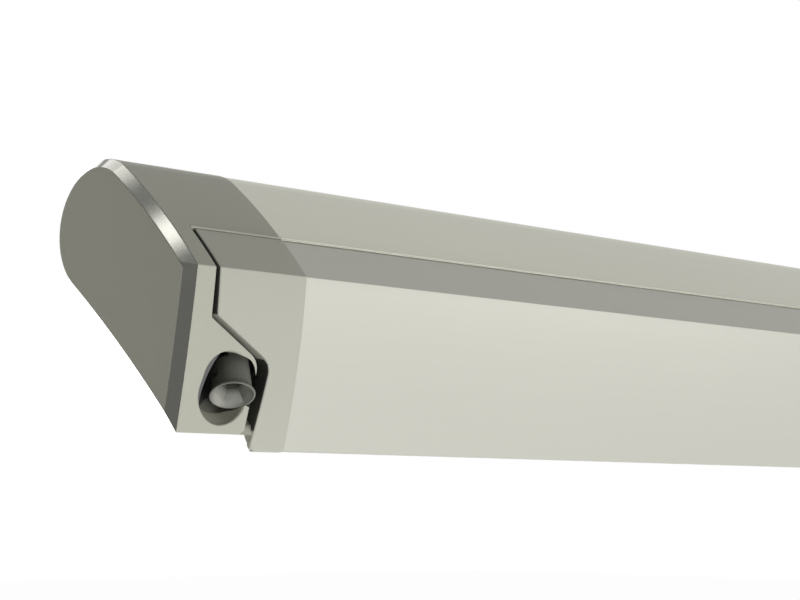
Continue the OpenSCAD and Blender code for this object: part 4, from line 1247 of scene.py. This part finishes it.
# Canopy
# The free fabric: it leaves the top of the roll, turns round the bead under the seam and
# ends in the groove of the lead rail, on a round plastic cord.
half_t = fabric_t / 2
start_point = roll_c + polar(leave, roll_top)
wrap = arc(bead_c, bead_wrap + half_t, leave + 180, 290, 10)
groove_point = (groove_c + polar(groove_angle, groove_r + 0.3)
                + polar(groove_angle - 90, half_t) * 0.5)
free = ([start_point.lerp(wrap[0], i / 12) for i in range(12)] + wrap
        + [wrap[-1].lerp(groove_point, i / 40) for i in range(1, 41)])
free_mesh, free_len = sheet_mesh("canopy_sheet", free)
canopy = hemmed("canopy_sheet", free_mesh, 0.4, canopy_cloth, 60)
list(wrap[-1] * mm)
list(groove_point * mm)
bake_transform(canopy)
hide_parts("canopy")
keder_paint = moulded("keder_plastic", (0.62, 0.62, 0.60), 0.5)
dress(keder_paint, "front_keder")
rubber = moulded("seal_rubber", (0.018, 0.018, 0.018), 0.7)
dress(rubber, "cassette_seal")

# Folding arms
# Each arm is two rectangular aluminium tubes with cast ends: a knuckle at the shoulder, a
# yoke and a tongue at the elbow, and a knuckle at the hand. A long coil spring in the upper
# tube pulls the arm open.


def arm_coat(name, colour):
    """Powder coat on the arm tubes, a little rougher than on the case."""
    coat = Finish(name, colour, 0.5, 0.1)
    grain = coat.noise(1200, 3)
    cloud = coat.noise(12, 2, (0.4, 1, 1))
    coat.shade(grain * 0.3 + cloud * 0.3, 0.84)
    coat.set("Roughness", 0.44 + grain * 0.12)
    coat.bump(grain, 0.00003)
    return coat


dress(arm_coat("arm_paint", (0.60, 0.60, 0.57)), *pair("upper_arm"), *pair("forearm"))
shoulder_y, shoulder_z, arm_pitch, elbow_inset = 18, 22.2, 8, 90
spring_from, spring_margin = 46, 58
spring_len = length / 2 - shoulder_inset - elbow_inset - spring_from - spring_margin
spring_r, wire_r, spring_pitch = 5.8, 1.2, 7.5


def spring_links(nodes, start):
    """A coil of wire along Z, from its turns, radius, length and wire."""
    helix = nodes.new("GeometryNodeCurveSpiral")
    helix.inputs["Resolution"].default_value = 10
    wire = nodes.new("GeometryNodeCurvePrimitiveCircle")
    wire.inputs["Resolution"].default_value = 6
    bar = nodes.new("GeometryNodeCurveToMesh")
    bar.inputs["Fill Caps"].default_value = True
    return [(start["Turns"], helix.inputs["Rotations"]),
            (start["Coil radius"], helix.inputs["Start Radius"]),
            (start["Coil radius"], helix.inputs["End Radius"]),
            (start["Length"], helix.inputs["Height"]),
            (start["Wire radius"], wire.inputs["Radius"]),
            (helix.outputs[0], bar.inputs["Curve"]),
            (wire.outputs["Curve"], bar.inputs["Profile Curve"])], bar.outputs[0]


spring_steel = turned_metal("spring_steel", (0.20, 0.20, 0.21), 0.35)
coil = by_rule("arm_spring_coil", bpy.data.meshes.new("arm_spring_coil"), spring_steel, [
    ("Turns", "Float", spring_len / spring_pitch), ("Coil radius", "Float", spring_r * mm),
    ("Length", "Float", spring_len * mm), ("Wire radius", "Float", wire_r * mm)], spring_links)
coil.transform(Matrix.Translation(
    Vector((shoulder_inset - length / 2, -shoulder_y, shoulder_z)) * mm)
    @ Matrix.Rotation(math.radians(arm_pitch), 4, "X")
    @ Matrix.Translation((spring_from * mm, 0, 0)) @ Matrix.Rotation(math.pi / 2, 4, "Y"))
for side, mesh in (("left", coil), ("right", mirrored(coil))):
    spring = new_piece("arm_spring_coil_" + side, mesh, spring_steel, 60)
    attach(spring, "upper_arm_" + side)
    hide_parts("arm_spring_" + side)

# Support legs
# Two telescopic legs fold into the lane under the rail. Each has an anodised outer and inner
# tube, a black collar with a clamp lever, a black foot, and a plastic bracket and catch.
anodised = arm_coat("leg_metal", (0.60, 0.60, 0.59))
anodised.set("Metallic", 0.85)
dress(anodised, *pair("leg_outer"), *pair("leg_inner"))
black = moulded("black_plastic", (0.022, 0.022, 0.022), 0.5)
dress(black, *pair("leg_collar"), *pair("leg_lever"), *pair("leg_foot"))
dress(grey_plastic, *pair("leg_bracket"), "leg_catches")
